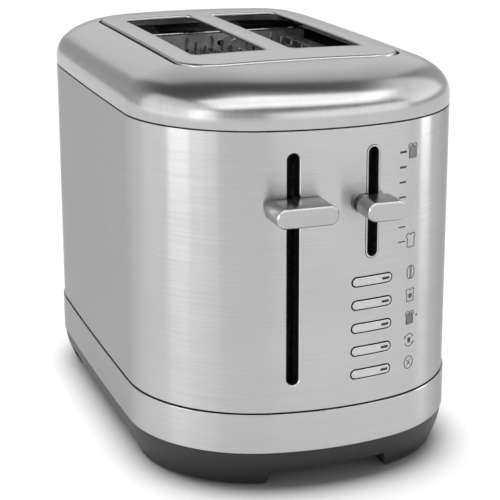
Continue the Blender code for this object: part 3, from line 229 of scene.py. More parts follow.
def oval(x, z, half_x, half_z, start=0.0, stop=360.0, steps=28):
    """Points on an ellipse, angles in degrees from the first axis towards the second."""
    full = stop - start >= 360.0
    turns = [math.radians(start + (stop - start) * step / steps)
             for step in range(steps if full else steps + 1)]
    return [(x + half_x * math.cos(turn), z + half_z * math.sin(turn)) for turn in turns]


def circle(centre, radius, sides=40):
    return oval(*centre, radius, radius, steps=sides)


def box_polygon(low, high):
    return [(low[0], low[1]), (high[0], low[1]), (high[0], high[1]), (low[0], high[1])]


def quarter_round(steps):
    """Insets and rises, both from 0 to 1, along the rounding from a flat face into a wall."""
    turns = [math.pi / 2 * step / steps for step in range(steps + 1)]
    return [(1 - math.sin(turn), 1 - math.cos(turn)) for turn in turns]


# ---------------- making pieces
def body_box(node):
    """Low and high corner of a CAD node's box in body coordinates."""
    return [corner - Vector((0.0, MIDDLE_Y, 0.0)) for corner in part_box(node)]


def add_object(name, data):
    thing = bpy.data.objects.new(name, data)
    bpy.context.scene.collection.objects.link(thing)
    return thing


def shade(data, sharp):
    """Smooth shading, apart from edges sharper than an angle in degrees."""
    data.shade_smooth()
    data.set_sharp_from_angle(angle=math.radians(sharp))


def new_piece(name, mesh, look, sharp=32.0):
    """Turn a bmesh in body coordinates into an object in the frame's coordinates."""
    bmesh.ops.recalc_face_normals(mesh, faces=mesh.faces)
    bmesh.ops.translate(mesh, verts=mesh.verts, vec=(0.0, MIDDLE_Y, 0.0))
    data = bpy.data.meshes.new(name)
    mesh.to_mesh(data)
    mesh.free()
    if look is not None:
        data.materials.append(LOOKS[look])
    shade(data, sharp)
    return add_object(name, data)


def stands_for(piece, body, slot, *nodes):
    """Let a piece ride on a body in place of its CAD nodes."""
    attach(piece, body)
    if nodes:
        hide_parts(*nodes)


def skin(mesh, rings, closed=False, capped=False):
    """Faces between neighbouring rings of points; returns the rings of vertices."""
    loops = [[mesh.verts.new(point) for point in ring] for ring in rings]
    pairs = list(zip(loops, loops[1:]))
    if closed:
        pairs.append((loops[-1], loops[0]))
    for first, second in pairs:
        for index in range(len(first)):
            following = (index + 1) % len(first)
            mesh.faces.new((first[index], first[following], second[following], second[index]))
    if capped:
        mesh.faces.new(loops[0])
        mesh.faces.new(loops[-1])
    return loops


def loft(name, rings, look, closed=False, sharp=32.0):
    """A solid between rings: capped at both ends, or closed on itself like a sleeve."""
    mesh = bmesh.new()
    skin(mesh, rings, closed, not closed)
    return new_piece(name, mesh, look, sharp)


def prism(name, polygon, axis, low, high, look=None):
    """A polygon extruded along X, Y or Z; its points hold the other two coordinates in order."""
    place = "XYZ".index(axis)
    rings = [[(*point[:place], value, *point[place:]) for point in polygon] for value in (low, high)]
    return loft(name, rings, look)


def evaluated(piece):
    """Replace a piece's mesh by what its modifiers make of it."""
    graph = bpy.context.evaluated_depsgraph_get()
    made = bpy.data.meshes.new_from_object(piece.evaluated_get(graph))
    old = piece.data
    piece.modifiers.clear()
    piece.data = made
    made.name = piece.name
    bpy.data.meshes.remove(old)


def cut(piece, *cutters, sharp=32.0):
    """Cut solids out of a piece; the cutters are removed afterwards."""
    for cutter in cutters:
        modifier = piece.modifiers.new("Cut", "BOOLEAN")
        modifier.operation = "DIFFERENCE"
        modifier.object = cutter
        modifier.solver = "EXACT"
    evaluated(piece)
    for cutter in cutters:
        bpy.data.objects.remove(cutter, do_unlink=True)
    shade(piece.data, sharp)


def soften(piece, width):
    """Break the sharp edges of a piece."""
    bevel = piece.modifiers.new("Softened", "BEVEL")
    bevel.width = width
    bevel.segments = 2
    bevel.limit_method = "ANGLE"
    bevel.angle_limit = math.radians(35.0)
    bevel.harden_normals = True


def tube(mesh, points, radius, sides=10):
    """A round wire along a line of points, with closed ends."""
    rings = []
    side = None
    for index, point in enumerate(points):
        here = Vector(point)
        ahead = Vector(points[min(index + 1, len(points) - 1)]) - here
        behind = here - Vector(points[max(index - 1, 0)])
        along = (ahead.normalized() + behind.normalized()).normalized()
        if side is None:
            side = along.orthogonal().normalized()
        side = (side - along * side.dot(along)).normalized()
        other = along.cross(side)
        rings.append([here + side * across + other * up
                      for across, up in circle((0.0, 0.0), radius, sides)])
    skin(mesh, rings, capped=True)


def lathe(name, centre, profile, look, axis="Z", sides=64):
    """A turned ring about an axis: profile holds (radius, distance along the axis)."""
    rings = []
    for radius, along in profile:
        ring = circle(centre, radius, sides)
        rings.append([(x, y, along) if axis == "Z" else (x, along, y) for x, y in ring])
    return loft(name, rings, look, closed=True)


# ---------------- materials
LOOKS = {}


class Shader:
    """A Principled material, kept in LOOKS, and short calls that add and join its nodes."""

    def __init__(self, name, metallic, roughness, **others):
        self.material = LOOKS[name] = bpy.data.materials.new(name)
        self.material.use_nodes = True
        self.tree = self.material.node_tree
        self.main = self.tree.nodes["Principled BSDF"]
        for key, value in {"Metallic": metallic, "Roughness": roughness, **others}.items():
            self.main.inputs[key.replace("_", " ")].default_value = value
        self.place = self.tree.nodes.new("ShaderNodeTexCoord").outputs["Object"]

    def node(self, kind, inputs=(), **settings):
        made = self.tree.nodes.new(kind)
        for key, value in settings.items():
            setattr(made, key, value)
        for key, value in dict(inputs).items():
            if isinstance(value, bpy.types.NodeSocket):
                self.tree.links.new(value, made.inputs[key])
            else:
                made.inputs[key].default_value = value
        return made

    def noise(self, scale, stretch=(1.0, 1.0, 1.0), detail=3.0, roughness=0.55):
        """Noise with `scale` cells to the metre, times a stretch along each axis."""
        size = tuple(scale * part for part in stretch)
        mapping = self.node("ShaderNodeMapping", {"Vector": self.place, "Scale": size})
        texture = self.node("ShaderNodeTexNoise", {"Vector": mapping.outputs[0], "Scale": 1.0,
                                                   "Detail": detail, "Roughness": roughness})
        return texture.outputs["Fac"]

    def remap(self, value, low, high, start=0.35, stop=0.65):
        """Spread the middle of a noise over low to high."""
        inputs = {"Value": value, "From Min": start, "From Max": stop, "To Min": low,
                  "To Max": high}
        return self.node("ShaderNodeMapRange", inputs).outputs["Result"]

    def maths(self, operation, first, second):
        return self.node("ShaderNodeMath", {0: first, 1: second}, operation=operation).outputs[0]

    def weighted(self, first, share, second, other_share):
        """Sum of two values, each times its share."""
        return self.maths("ADD", self.maths("MULTIPLY", first, share),
                          self.maths("MULTIPLY", second, other_share))

    def colour(self, factor, dark, light):
        """Base colour between two colours, by a factor from 0 to 1."""
        mix = self.node("ShaderNodeMix", {"Factor": factor}, data_type="RGBA")
        mix.inputs["A"].default_value = (*dark, 1.0)
        mix.inputs["B"].default_value = (*light, 1.0)
        self.tree.links.new(mix.outputs["Result"], self.main.inputs["Base Color"])

    def rough(self, value, low, high, start=0.35, stop=0.65):
        """Roughness from low to high, by the middle of a noise."""
        result = self.remap(value, low, high, start, stop)
        self.tree.links.new(result, self.main.inputs["Roughness"])

    def bump(self, heights, strength):
        """Chain bumps, each a (height socket, distance in metres)."""
        normal = None
        for height, distance in heights:
            inputs = {"Height": height, "Distance": distance, "Strength": strength}
            if normal is not None:
                inputs["Normal"] = normal
            normal = self.node("ShaderNodeBump", inputs).outputs["Normal"]
        self.tree.links.new(normal, self.main.inputs["Normal"])

    def edges(self):
        """0 on flat faces and 1 along convex edges."""
        pointiness = self.node("ShaderNodeNewGeometry").outputs["Pointiness"]
        return self.remap(pointiness, 0.0, 1.0, 0.5, 0.62)


def grey(value):
    return (value, value, value)


def brushed_steel(name, dark, light, roughness, spread):
    """Steel brushed round the body: the grain runs level and smears highlights upwards."""
    shader = Shader(name, 1.0, roughness, Specular_Tint=(*grey(0.55), 1.0), Anisotropic=0.95,
                    Anisotropic_Rotation=0.25)
    streaks = shader.noise(1.0, (22.0, 22.0, 1500.0), 4.0, 0.65)
    hair = shader.noise(1.0, (60.0, 60.0, 6500.0), 2.0, 0.5)
    cloud = shader.noise(14.0, (1.0, 1.0, 1.6), 3.0, 0.5)
    mixed = shader.weighted(streaks, 0.72, cloud, 0.28)
    shader.colour(shader.remap(mixed, 0.0, 1.0, 0.36, 0.64), grey(dark), grey(light))
    shader.rough(mixed, roughness - spread, roughness + spread, 0.30, 0.70)
    tangent = shader.node("ShaderNodeTangent", direction_type="RADIAL", axis="Z")
    shader.tree.links.new(tangent.outputs[0], shader.main.inputs["Tangent"])
    shader.bump([(streaks, 0.0000033), (hair, 0.0000018)], 0.6)


def satin_metal(name, dark, light, roughness, grain, bump):
    """Bead-blasted and lightly brushed casting; the grain follows the axis of least stretch."""
    shader = Shader(name, 1.0, roughness, Specular_Tint=(*grey(0.80), 1.0))
    lines = shader.noise(1.0, grain, roughness=0.6)
    cloud = shader.noise(22.0, roughness=0.5)
    pits = shader.noise(2600.0, detail=2.0, roughness=0.5)
    mixed = shader.weighted(lines, 0.6, cloud, 0.4)
    shader.colour(shader.remap(mixed, 0.0, 1.0), grey(dark), grey(light))
    shader.rough(mixed, roughness - 0.03, roughness + 0.03, 0.30, 0.70)
    shader.bump([(lines, bump), (pits, bump * 0.25)], 0.7)


def sheet_metal(name, dark, light, roughness, spangle):
    """Plated inner sheet: cloudy, with faint spangle and darker, duller patches."""
    shader = Shader(name, 1.0, roughness)
    cloud = shader.noise(30.0, detail=4.0, roughness=0.6)
    cells = shader.node("ShaderNodeTexVoronoi", {"Vector": shader.place, "Scale": spangle})
    flake = shader.node("ShaderNodeSeparateColor", {0: cells.outputs["Color"]}).outputs[0]
    mixed = shader.weighted(cloud, 0.75, flake, 0.25)
    shader.colour(shader.remap(mixed, 0.0, 1.0), dark, light)
    shader.rough(mixed, roughness - 0.08, roughness + 0.10)
    shader.bump([(cloud, 0.00003), (flake, 0.000004)], 0.5)


def moulded(name, dark, light, roughness, texture, bump, specular=0.5):
    """Moulded plastic, rubber or board: fine eroded texture with paler rubbed edges."""
    shader = Shader(name, 0.0, roughness, Specular_IOR_Level=specular)
    fine = shader.noise(texture, roughness=0.6)
    cloud = shader.noise(18.0, roughness=0.5)
    blend = shader.weighted(cloud, 0.8, shader.edges(), 0.25)
    shader.colour(shader.remap(blend, 0.0, 1.0, 0.2, 0.75), dark, light)
    shader.rough(fine, roughness - 0.06, roughness + 0.08)
    shader.bump([(fine, bump)], 0.8)


def winding_material():
    """Enamelled copper wire wound in close turns."""
    shader = Shader("copper_winding", 1.0, 0.35)
    inputs = {"Vector": shader.place, "Scale": 900.0, "Distortion": 0.4}
    wave = shader.node("ShaderNodeTexWave", inputs, bands_direction="Z").outputs["Fac"]
    shader.colour(wave, (0.20, 0.07, 0.03), (0.66, 0.30, 0.14))
    shader.rough(shader.noise(120.0), 0.26, 0.42)
    shader.bump([(wave, 0.00008)], 0.8)


def board_material():
    """Solder-masked circuit board with faint tracks and pads."""
    shader = Shader("circuit_board_green", 0.0, 0.4)
    inputs = {"Vector": shader.place, "Scale": 210.0}
    bricks = shader.node("ShaderNodeTexVoronoi", inputs, distance="MANHATTAN")
    tracks = shader.remap(bricks.outputs["Distance"], 0.0, 1.0, 0.30, 0.36)
    shader.colour(tracks, (0.012, 0.085, 0.030), (0.035, 0.190, 0.075))
    shader.rough(shader.noise(300.0), 0.30, 0.48)
    shader.bump([(tracks, 0.00004)], 0.6)


def window_material():
    """Smoked light window, glossy over a dark inside."""
    shader = Shader("smoked_window", 0.0, 0.2, Coat_Weight=0.4)
    haze = shader.noise(900.0)
    shader.colour(haze, grey(0.006), grey(0.016))
    shader.rough(haze, 0.16, 0.26)


YZ_GRAIN = (1500.0, 26.0, 26.0)        # cells to the metre along X, Y and Z
Y_GRAIN = (1900.0, 40.0, 1900.0)
brushed_steel("brushed_stainless", 0.468, 0.537, 0.225, 0.02)
satin_metal("satin_cast_metal", 0.47, 0.52, 0.235, YZ_GRAIN, 0.000006)
satin_metal("satin_knob_metal", 0.44, 0.50, 0.25, Y_GRAIN, 0.000004)
satin_metal("button_metal", 0.55, 0.61, 0.25, Y_GRAIN, 0.000004)
sheet_metal("zinc_plated_steel", grey(0.42), grey(0.60), 0.50, 160.0)
sheet_metal("plain_steel", grey(0.36), grey(0.52), 0.26, 700.0)
sheet_metal("resistance_ribbon", (0.20, 0.16, 0.14), (0.36, 0.31, 0.27), 0.46, 420.0)
# near-black steel for the lever arm: painted shade where it shows through the lever slot
sheet_metal("painted_shade_steel", grey(0.010), grey(0.022), 0.50, 600.0)
moulded("charcoal_plastic", grey(0.018), grey(0.026), 0.46, 1900.0, 0.000016, 0.38)
moulded("black_plastic", grey(0.008), grey(0.014), 0.52, 1700.0, 0.00002)
moulded("black_rubber", grey(0.014), grey(0.024), 0.78, 1300.0, 0.00003, 0.3)
# near-black: painted shade for the slot lips and the button sides, where the gaps lie in shadow
moulded("painted_shade_black", grey(0.002), grey(0.005), 0.90, 2600.0, 0.00004, 0.1)
moulded("printed_ink", grey(0.012), grey(0.024), 0.55, 900.0, 0.000004)
moulded("mica_board", (0.12, 0.105, 0.085), (0.22, 0.20, 0.17), 0.55, 420.0, 0.00004)
winding_material()
board_material()
window_material()


# ---------------- shapes on the bowed panel
def pill_outline(width, height, arc_steps=12, straight_steps=10):
    """Lower side from left to right, then upper side back, of a stadium about (0, 0)."""
    radius = min(width, height) / 2
    reach = max(width, height) / 2 - radius
    lower = oval(-reach, 0.0, radius, radius, 180.0, 270.0, arc_steps)
    lower += [(-reach + 2 * reach * step / straight_steps, -radius)
              for step in range(1, straight_steps)]
    lower += oval(reach, 0.0, radius, radius, 270.0, 360.0, arc_steps)
    points = lower + [(along, -across) for along, across in reversed(lower[1:-1])]
    if height > width:
        points = [(-across, along) for along, across in points]
    return points


def on_panel(x, z, inset):
    """A point of the front face, moved in by inset along the face's normal."""
    return (*front_point(x, inset), z)


def cap_with_strips(mesh, loop):
    """Close a pill-shaped loop with strips from its lower side to its upper side."""
    half = len(loop) // 2
    mesh.faces.new((loop[0], loop[1], loop[-1]))
    for index in range(1, half - 1):
        mesh.faces.new((loop[index], loop[index + 1], loop[-index - 1], loop[-index]))
    mesh.faces.new((loop[half - 1], loop[half], loop[half + 1]))


def panel_pill(name, x, z, size, levels, look, closed=False):
    """A pill-shaped solid or frame on the front face; each level is (growth, inset)."""
    mesh = bmesh.new()
    rings = []
    for growth, inset in levels:
        pill = pill_outline(size[0] + 2 * growth, size[1] + 2 * growth)
        rings.append([on_panel(x + across, z + up, inset) for across, up in pill])
    loops = skin(mesh, rings, closed)
    if not closed:
        cap_with_strips(mesh, loops[0])
        cap_with_strips(mesh, loops[-1])
    return new_piece(name, mesh, look)


def slot_middle(slot):
    """Height of a control slot's middle, and the slot's width and height."""
    width, bottom, top = slot
    return (bottom + top) / 2, (width, top - bottom)


def button_height(index):
    low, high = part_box("button_" + BUTTON_NAMES[index])
    return (low.z + high.z) / 2


# ---------------- casings
def cover_height(inset):
    """Height of the domed cover's outer surface at a distance in from the outline."""
    near = min(max(inset, 0.0) / COVER_REACH, 1.0)
    dome = COVER_RISE * (1 - (1 - near) ** COVER_POWER) ** (1 / COVER_POWER)
    return COVER_LOW.z + COVER_WALL_HEIGHT + dome + COVER_SLOPE * max(inset, 0.0)


def opening_outline(growth):
    """Rounded opening of the cover, grown all round."""
    return rounded_rectangle(OPENING_HALF_X + growth, OPENING_HALF_Y + growth,
                             OPENING_RADIUS + growth)


def cover_rings(wall_inset, growth, drop, fractions):
    """Rings of the cover from its wall to its opening, for the outer or the inner face."""
    pairs = list(zip(outline(wall_inset), opening_outline(growth)))
    rings = []
    for fraction in fractions:
        ring = []
        for (x0, y0), (x1, y1) in pairs:
            x = x0 + (x1 - x0) * fraction
            y = y0 + (y1 - y0) * fraction
            flare = COVER_FLARE * fraction ** 1.5
            ring.append((x, y, cover_height(inset_at(x, y) - wall_inset) + flare - drop))
        rings.append(ring)
    return rings


def build_top_cover():
    """Domed shell with a rounded foot, and a lip that turns down round the opening."""
    edge, steps, inner_skip = 0.0005, 60, 6
    fractions = [(step / steps) ** 2.3 for step in range(steps + 1)]
    rings = stacked((edge * inset, COVER_LOW.z + edge * rise) for inset, rise in quarter_round(3))
    rings += cover_rings(0.0, COVER_LIP_RADIUS, 0.0, fractions)
    brim = [z for _, _, z in rings[-1]]
    for growth, drop in quarter_round(5)[1:]:
        plan = opening_outline(COVER_LIP_RADIUS * growth)
        rings.append([(x, y, z - COVER_LIP_RADIUS * drop) for (x, y), z in zip(plan, brim)])
    rings += [at_height(opening_outline(growth), COVER_LIP_BOTTOM)
              for growth in (0.0, COVER_THICKNESS)]
    rings += reversed(cover_rings(COVER_THICKNESS, COVER_THICKNESS, COVER_THICKNESS,
                                  fractions[::inner_skip]))
    rings.append(at_height(outline(COVER_THICKNESS), COVER_LOW.z))
    cover = loft("top_cover_shell", rings, "satin_cast_metal", closed=True)
    stands_for(cover, "housing", "satin_cast_metal", "top_cover")


def plate_height(x, y):
    """Height of the slot plate's slightly crowned top."""
    across = (x / OPENING_HALF_X) ** 2
    along = (y / OPENING_HALF_Y) ** 2
    return PLATE_HIGH.z - PLATE_CROWN_X * across - PLATE_CROWN_Y * along


def slot_outline(side, growth):
    """The left or right bread slot seen from above, grown all round."""
    half_y = (SLOT_REAR_Y - SLOT_FRONT_Y) / 2 + growth
    middle_y = (SLOT_REAR_Y + SLOT_FRONT_Y) / 2
    points = rounded_rectangle(SLOT_HALF_X + growth, half_y, SLOT_RADIUS + growth, (6, 10, 16))
    return [(x + side * SLOT_CENTRE_X, y + middle_y) for x, y in points]


def inside_loop(x, y, loop):
    """Whether a point lies inside a closed outline in plan."""
    inside = False
    previous = loop[-1]
    for point in loop:
        if (point[1] > y) != (previous[1] > y):
            along = (previous[0] - point[0]) * (y - point[1]) / (previous[1] - point[1])
            if x < along + point[0]:
                inside = not inside
        previous = point
    return inside


def filled_region(outer, holes, spacing):
    """Triangles over a region in plan with holes, with a grid of points inside it."""
    def inside(x, y):
        return inside_loop(x, y, outer) and not any(inside_loop(x, y, hole) for hole in holes)

    points, edges = [], []
    for loop in [outer, *holes]:
        start = len(points)
        points += [Vector(point) for point in loop]
        edges += [(start + index, start + (index + 1) % len(loop)) for index in range(len(loop))]
    rim = list(points)
    clearance = spacing * 0.45
    columns = int(max(x for x, _ in outer) / spacing)
    rows = int(max(y for _, y in outer) / spacing)
    for column in range(-columns, columns + 1):
        for row in range(-rows, rows + 1):
            x, y = column * spacing, row * spacing
            clear = all(math.hypot(x - p.x, y - p.y) > clearance for p in rim)
            if clear and inside(x, y):
                points.append(Vector((x, y)))
    made = delaunay_2d_cdt(points, edges, [], 0, 1e-7)
    triangles = []
    for face in made[2]:
        x = sum(made[0][index].x for index in face) / len(face)
        y = sum(made[0][index].y for index in face) / len(face)
        if inside(x, y):
            triangles.append(face)
    return [tuple(point) for point in made[0]], triangles


def rolled_rings(plan, radius, steps, bottom):
    """Rings that roll the plate's top over into a wall; plan gives the outline at each offset."""
    rings = []
    for inset, drop in quarter_round(steps):
        rings.append([(x, y, plate_height(x, y) - radius * drop) for x, y in plan(radius * inset)])
    rings.append([(x, y, bottom) for x, y, _ in rings[-1]])
    return rings


def build_slot_plate():
    """Pressed plate: rolled outer edge, and rolled lips that turn down into both slots."""
    def edge_outline(inset):
        return rounded_rectangle(PLATE_HALF_X - inset, PLATE_HALF_Y - inset, PLATE_CORNER - inset)

    sides, grid_spacing = (-1, 1), 0.0045
    slots = [slot_outline(side, SLOT_ROLL) for side in sides]
    points, triangles = filled_region(edge_outline(PLATE_ROLL), slots, grid_spacing)
    mesh = bmesh.new()
    verts = [mesh.verts.new((x, y, plate_height(x, y))) for x, y in points]
    for triangle in triangles:
        mesh.faces.new([verts[index] for index in triangle])
    skin(mesh, rolled_rings(edge_outline, PLATE_ROLL, 7, PLATE_LOW.z))
    for side in sides:
        skin(mesh, rolled_rings(partial(slot_outline, side), SLOT_ROLL, 6, SLOT_LIP_BOTTOM))
    bmesh.ops.remove_doubles(mesh, verts=mesh.verts, dist=1e-6)
    plate = new_piece("slot_plate_pressing", mesh, "satin_cast_metal")
    solid = plate.modifiers.new("Sheet", "SOLIDIFY")
    solid.thickness = PLATE_SHEET
    solid.offset = -1.0
    evaluated(plate)
    shade(plate.data, 50.0)
    stands_for(plate, "housing", "satin_cast_metal", "slot_plate")


def sleeve_rings(bottom, top, outer, inner, edge, steps=3):
    """Rings of a sheet round the body outline, with its outer edges rounded."""
    corner = quarter_round(steps)
    foot = [(outer + edge * inset, bottom + edge * rise) for inset, rise in corner]
    head = [(outer + edge * rise, top - edge * inset) for inset, rise in corner]
    return stacked([*foot, *head, (inner, top), (inner, bottom)])


def set_wall_normals(piece, wall_inset):
    """Give the outer wall the exact normals of the outline, so that cut-outs don't disturb it."""
    max_tilt, max_offset, min_facing = 0.05, 0.0002, 0.97
    data = piece.data
    normals = [Vector(corner.vector) for corner in data.corner_normals]
    for face in data.polygons:
        x, y = face.center.x, face.center.y - MIDDLE_Y
        if abs(face.normal.z) > max_tilt or abs(inset_at(x, y) - wall_inset) > max_offset:
            continue
        wall = outline_normal(x, y)
        if face.normal.x * wall.x + face.normal.y * wall.y < min_facing:
            continue
        for loop in face.loop_indices:
            vertex = data.vertices[data.loops[loop].vertex_index].co
            exact = outline_normal(vertex.x, vertex.y - MIDDLE_Y)
            normals[loop] = Vector((exact.x, exact.y, 0.0))
    data.normals_split_custom_set(normals)


def panel_cutter(x, z, size, growth, chamfer):
    """A pill-shaped cutter for the sheet, flared so that the edge is broken."""
    levels = [(growth + chamfer + 0.0040, -0.0040), (growth + chamfer, 0.0), (growth, chamfer),
              (growth, 0.0060)]
    return panel_pill("panel_cutter", x, z, size, levels, None)


def build_body_wrap():
    """Sheet round the body, with the cut-outs of the control panel."""
    rings = sleeve_rings(WRAP_LOW.z + 0.0003, WRAP_HIGH.z - 0.0002, 0.0, SHEET, 0.0002)
    wrap = loft("body_wrap_sheet", rings, "brushed_stainless", closed=True)
    lever_chamfer, shade_chamfer, button_chamfer = 0.00045, 0.0002, 0.0001
    bezel_growth = SHADE_BEZEL + 0.0001
    cutters = [panel_cutter(LEVER_X, *slot_middle(LEVER_SLOT), 0.0, lever_chamfer),
               panel_cutter(SHADE_X, *slot_middle(SHADE_SLOT), bezel_growth, shade_chamfer)]
    for index in range(len(BUTTON_NAMES)):
        cutters.append(panel_cutter(BUTTON_X, button_height(index), BUTTON_SIZE, BUTTON_GAP,
                                    button_chamfer))
    cut(wrap, *cutters)
    set_wall_normals(wrap, 0.0)
    stands_for(wrap, "housing", "brushed_stainless", "body_wrap")


def gland_centre():
    low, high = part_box("cord_gland")
    return (low.x + high.x) / 2, (low.z + high.z) / 2


def build_lower_band():
    """Casting under the wrap, proud of it, with a rebate that darkens the seam between them."""
    wall_inset = BAND_WALL - BAND_PROUD
    ledge_inset, ledge_depth, hole_radius = -0.0001, 0.0020, 0.0062
    ledge = BAND_HIGH.z - ledge_depth
    rings = sleeve_rings(BAND_LOW.z, BAND_HIGH.z, -BAND_PROUD, wall_inset, 0.0005, 5)[:-2]
    rings += stacked([(ledge_inset, BAND_HIGH.z), (ledge_inset, ledge), (wall_inset, ledge),
                      (wall_inset, BAND_LOW.z)])
    band = loft("lower_band_casting", rings, "brushed_stainless", closed=True)
    cut(band, prism("gland_cutter", circle(gland_centre(), hole_radius, 48), "Y",
                    HALF_DEPTH - 0.01, HALF_DEPTH + 0.02))
    set_wall_normals(band, -BAND_PROUD)
    stands_for(band, "housing", "brushed_stainless", "lower_band")


# ---------------- base
BASE_SWEEP = 0.0056        # how far the base's wall curves in towards its underside
BASE_EDGE = 0.0007
BASE_WALL = 0.0028
FLOOR_UNDERSIDE = 0.0120
FLOOR_TOP = 0.0140
SIDE_ARCH = (0.0800, 0.0660, FLOOR_UNDERSIDE)      # foot, flat and top of each cut-out
END_ARCH = (0.0342, 0.0310, 0.0105)
FOOT_PLACE = (0.0520, 0.1040)
FOOT_SEAT_RADIUS = 0.0063
FOOT_RADIUS = 0.0060
FOOT_TREAD = 0.0010        # rounding of a foot's lower edge
SCREW_PLACE = (0.0520, 0.0850)
SCREW_RECESS_RADIUS = 0.0033
LOBE_ROOM = ((0.040, 0.090), (0.068, 0.114))       # hollow inside each corner lobe, in plan
BELOW_FLOOR = -0.001       # the cutters start this far below the floor
CORNERS = (("front_left", -1, -1), ("front_right", 1, -1), ("rear_left", -1, 1),
           ("rear_right", 1, 1))


def arch_polygon(foot, flat, top, steps=16):
    """Cut-out between two feet, open below, with eased ends."""
    bottom = BASE_LOW.z - 0.0002
    right = []
    for step in range(steps + 1):
        share = step / steps
        ease = (1 - math.cos(math.pi * share)) / 2
        right.append((foot + (flat - foot) * share, bottom + (top - bottom) * ease))
    left = [(-across, up) for across, up in reversed(right)]
    return [(foot, BELOW_FLOOR)] + right + left + [(-foot, BELOW_FLOOR)]


def build_base():
    """Moulding whose wall sweeps in to four corner lobes, hollow above its floor."""
    levels = [(BASE_SWEEP + BASE_EDGE * inset, BASE_LOW.z + BASE_EDGE * rise)
              for inset, rise in quarter_round(4)[:-1]]
    start, steps = BASE_LOW.z + BASE_EDGE, 20
    for step, (inset, _) in enumerate(quarter_round(steps)):
        levels.append((BASE_SWEEP * inset, start + (BASE_HIGH.z - start) * step / steps))
    base = loft("base_moulding", stacked(levels), "charcoal_plastic")
    tray_low, tray_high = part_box("crumb_tray")
    mouth = box_polygon((tray_low.x - GAP, HALF_DEPTH - 0.02),
                        (tray_high.x + GAP, HALF_DEPTH + 0.02))
    above, beyond = BASE_HIGH.z + 0.01, 0.2
    seat_top, recess_top, room_low, room_high = 0.0033, 0.0069, 0.0052, 0.0150
    cutters = [prism("well", outline(BASE_WALL), "Z", FLOOR_TOP, above),
               prism("side_arch", arch_polygon(*SIDE_ARCH), "X", -beyond, beyond),
               prism("end_arch", arch_polygon(*END_ARCH), "Y", -beyond, beyond),
               prism("mouth", mouth, "Z", FLOOR_TOP - 0.0001, above)]
    for _, side_x, side_y in CORNERS:
        foot = (side_x * FOOT_PLACE[0], side_y * FOOT_PLACE[1])
        screw = (side_x * SCREW_PLACE[0], side_y * SCREW_PLACE[1])
        spans = [sorted((side * near, side * far))
                 for side, near, far in zip((side_x, side_y), *LOBE_ROOM)]
        room = box_polygon(*zip(*spans))
        seat, recess = circle(foot, FOOT_SEAT_RADIUS), circle(screw, SCREW_RECESS_RADIUS)
        cutters += [prism("foot_seat", seat, "Z", BELOW_FLOOR, seat_top),
                    prism("screw_recess", recess, "Z", BELOW_FLOOR, recess_top),
                    prism("lobe_room", room, "Z", room_low, room_high)]
    cut(base, *cutters, sharp=34.0)
    stands_for(base, "housing", "charcoal_plastic", "base_housing")


def build_feet():
    """Turned rubber feet with a rounded tread and a ring groove."""
    bore, height = 0.0004, 0.0030
    tread = oval(FOOT_RADIUS - FOOT_TREAD, FOOT_TREAD, FOOT_TREAD, FOOT_TREAD, 0.0, -90.0, 5)
    profile = [(bore, height), (FOOT_RADIUS, height), *tread, (0.0038, 0.0), (0.0035, 0.0005),
               (0.0029, 0.0005), (0.0026, 0.0), (bore, 0.0)]
    for name, side_x, side_y in CORNERS:
        centre = (side_x * FOOT_PLACE[0], side_y * FOOT_PLACE[1])
        foot = lathe("rubber_tread_" + name, centre, profile, "black_rubber", sides=48)
        stands_for(foot, "housing", "black_rubber", "rubber_foot_" + name)


def build_gland():
    """Turned bush for the mains lead with a rounded flange."""
    low, high = body_box("cord_gland")
    front, rear = low.y, high.y
    face = HALF_DEPTH + BAND_PROUD + GAP
    profile = [(0.0034, front), (0.0060, front), (0.0060, face), (0.0085, face),
               (0.0088, face + 0.0003), *oval(0.0072, rear - 0.0014, 0.0016, 0.0008, 0.0, 90.0, 6),
               (0.0060, rear - 0.0006), (0.0057, rear - 0.0001), (0.0052, rear), (0.0038, rear),
               (0.0034, rear - 0.0004)]
    gland = lathe("cord_gland_bush", gland_centre(), profile, "black_plastic", axis="Y")
    stands_for(gland, "housing", "black_plastic", "cord_gland")


def build_tray():
    """Folded crumb tray with a hemmed rim."""
    low, high = body_box("crumb_tray")
    middle = (low.y + high.y) / 2
    half_y = (high.y - low.y) / 2
    floor = low.z + 0.0006
    rings = []
    for inset, z in ((0.0006, low.z), (0.0001, low.z + 0.0005), (0.0, low.z + 0.0010),
                     (0.0, high.z - 0.0002), (0.0002, high.z), (0.0009, high.z),
                     (0.0011, high.z - 0.0002), (0.0011, high.z - 0.0008),
                     (0.0006, high.z - 0.0009), (0.0006, floor + 0.0006), (0.0010, floor),
                     (0.02, floor + 0.0001), (0.022, floor + 0.0003), (0.03, floor + 0.0003)):
        corner = 0.003 - min(inset, 0.002)
        plan = rounded_rectangle(high.x - inset, half_y - inset, corner, (6, 8, 6))
        rings.append([(x, y + middle, z) for x, y in plan])
    tray = loft("crumb_tray_pan", rings, "zinc_plated_steel")
    stands_for(tray, "tray", "zinc_plated_steel", "crumb_tray")


def build_tray_grip():
    """Moulded grip that carries on the bow of the rear face, with a scoop for the fingers."""
    low, high = body_box("crumb_tray_grip")
    reach = high.y - HALF_DEPTH
    half_x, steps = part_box("crumb_tray")[1].x, 24
    across = [half_x - 2 * half_x * step / steps for step in range(steps + 1)]
    rear = [(x, -front_point(x, -reach)[1]) for x in across]
    polygon = [(half_x, low.y), *rear, (-half_x, low.y)]
    grip = prism("crumb_tray_handle", polygon, "Z", low.z, high.z, "charcoal_plastic")
    soften(grip, 0.0004)
    evaluated(grip)
    cut(grip, prism("scoop", arch_polygon(0.030, 0.022, low.z + 0.0022), "Y",
                    HALF_DEPTH - 0.004, HALF_DEPTH + 0.02))
    stands_for(grip, "tray", "charcoal_plastic", "crumb_tray_grip")


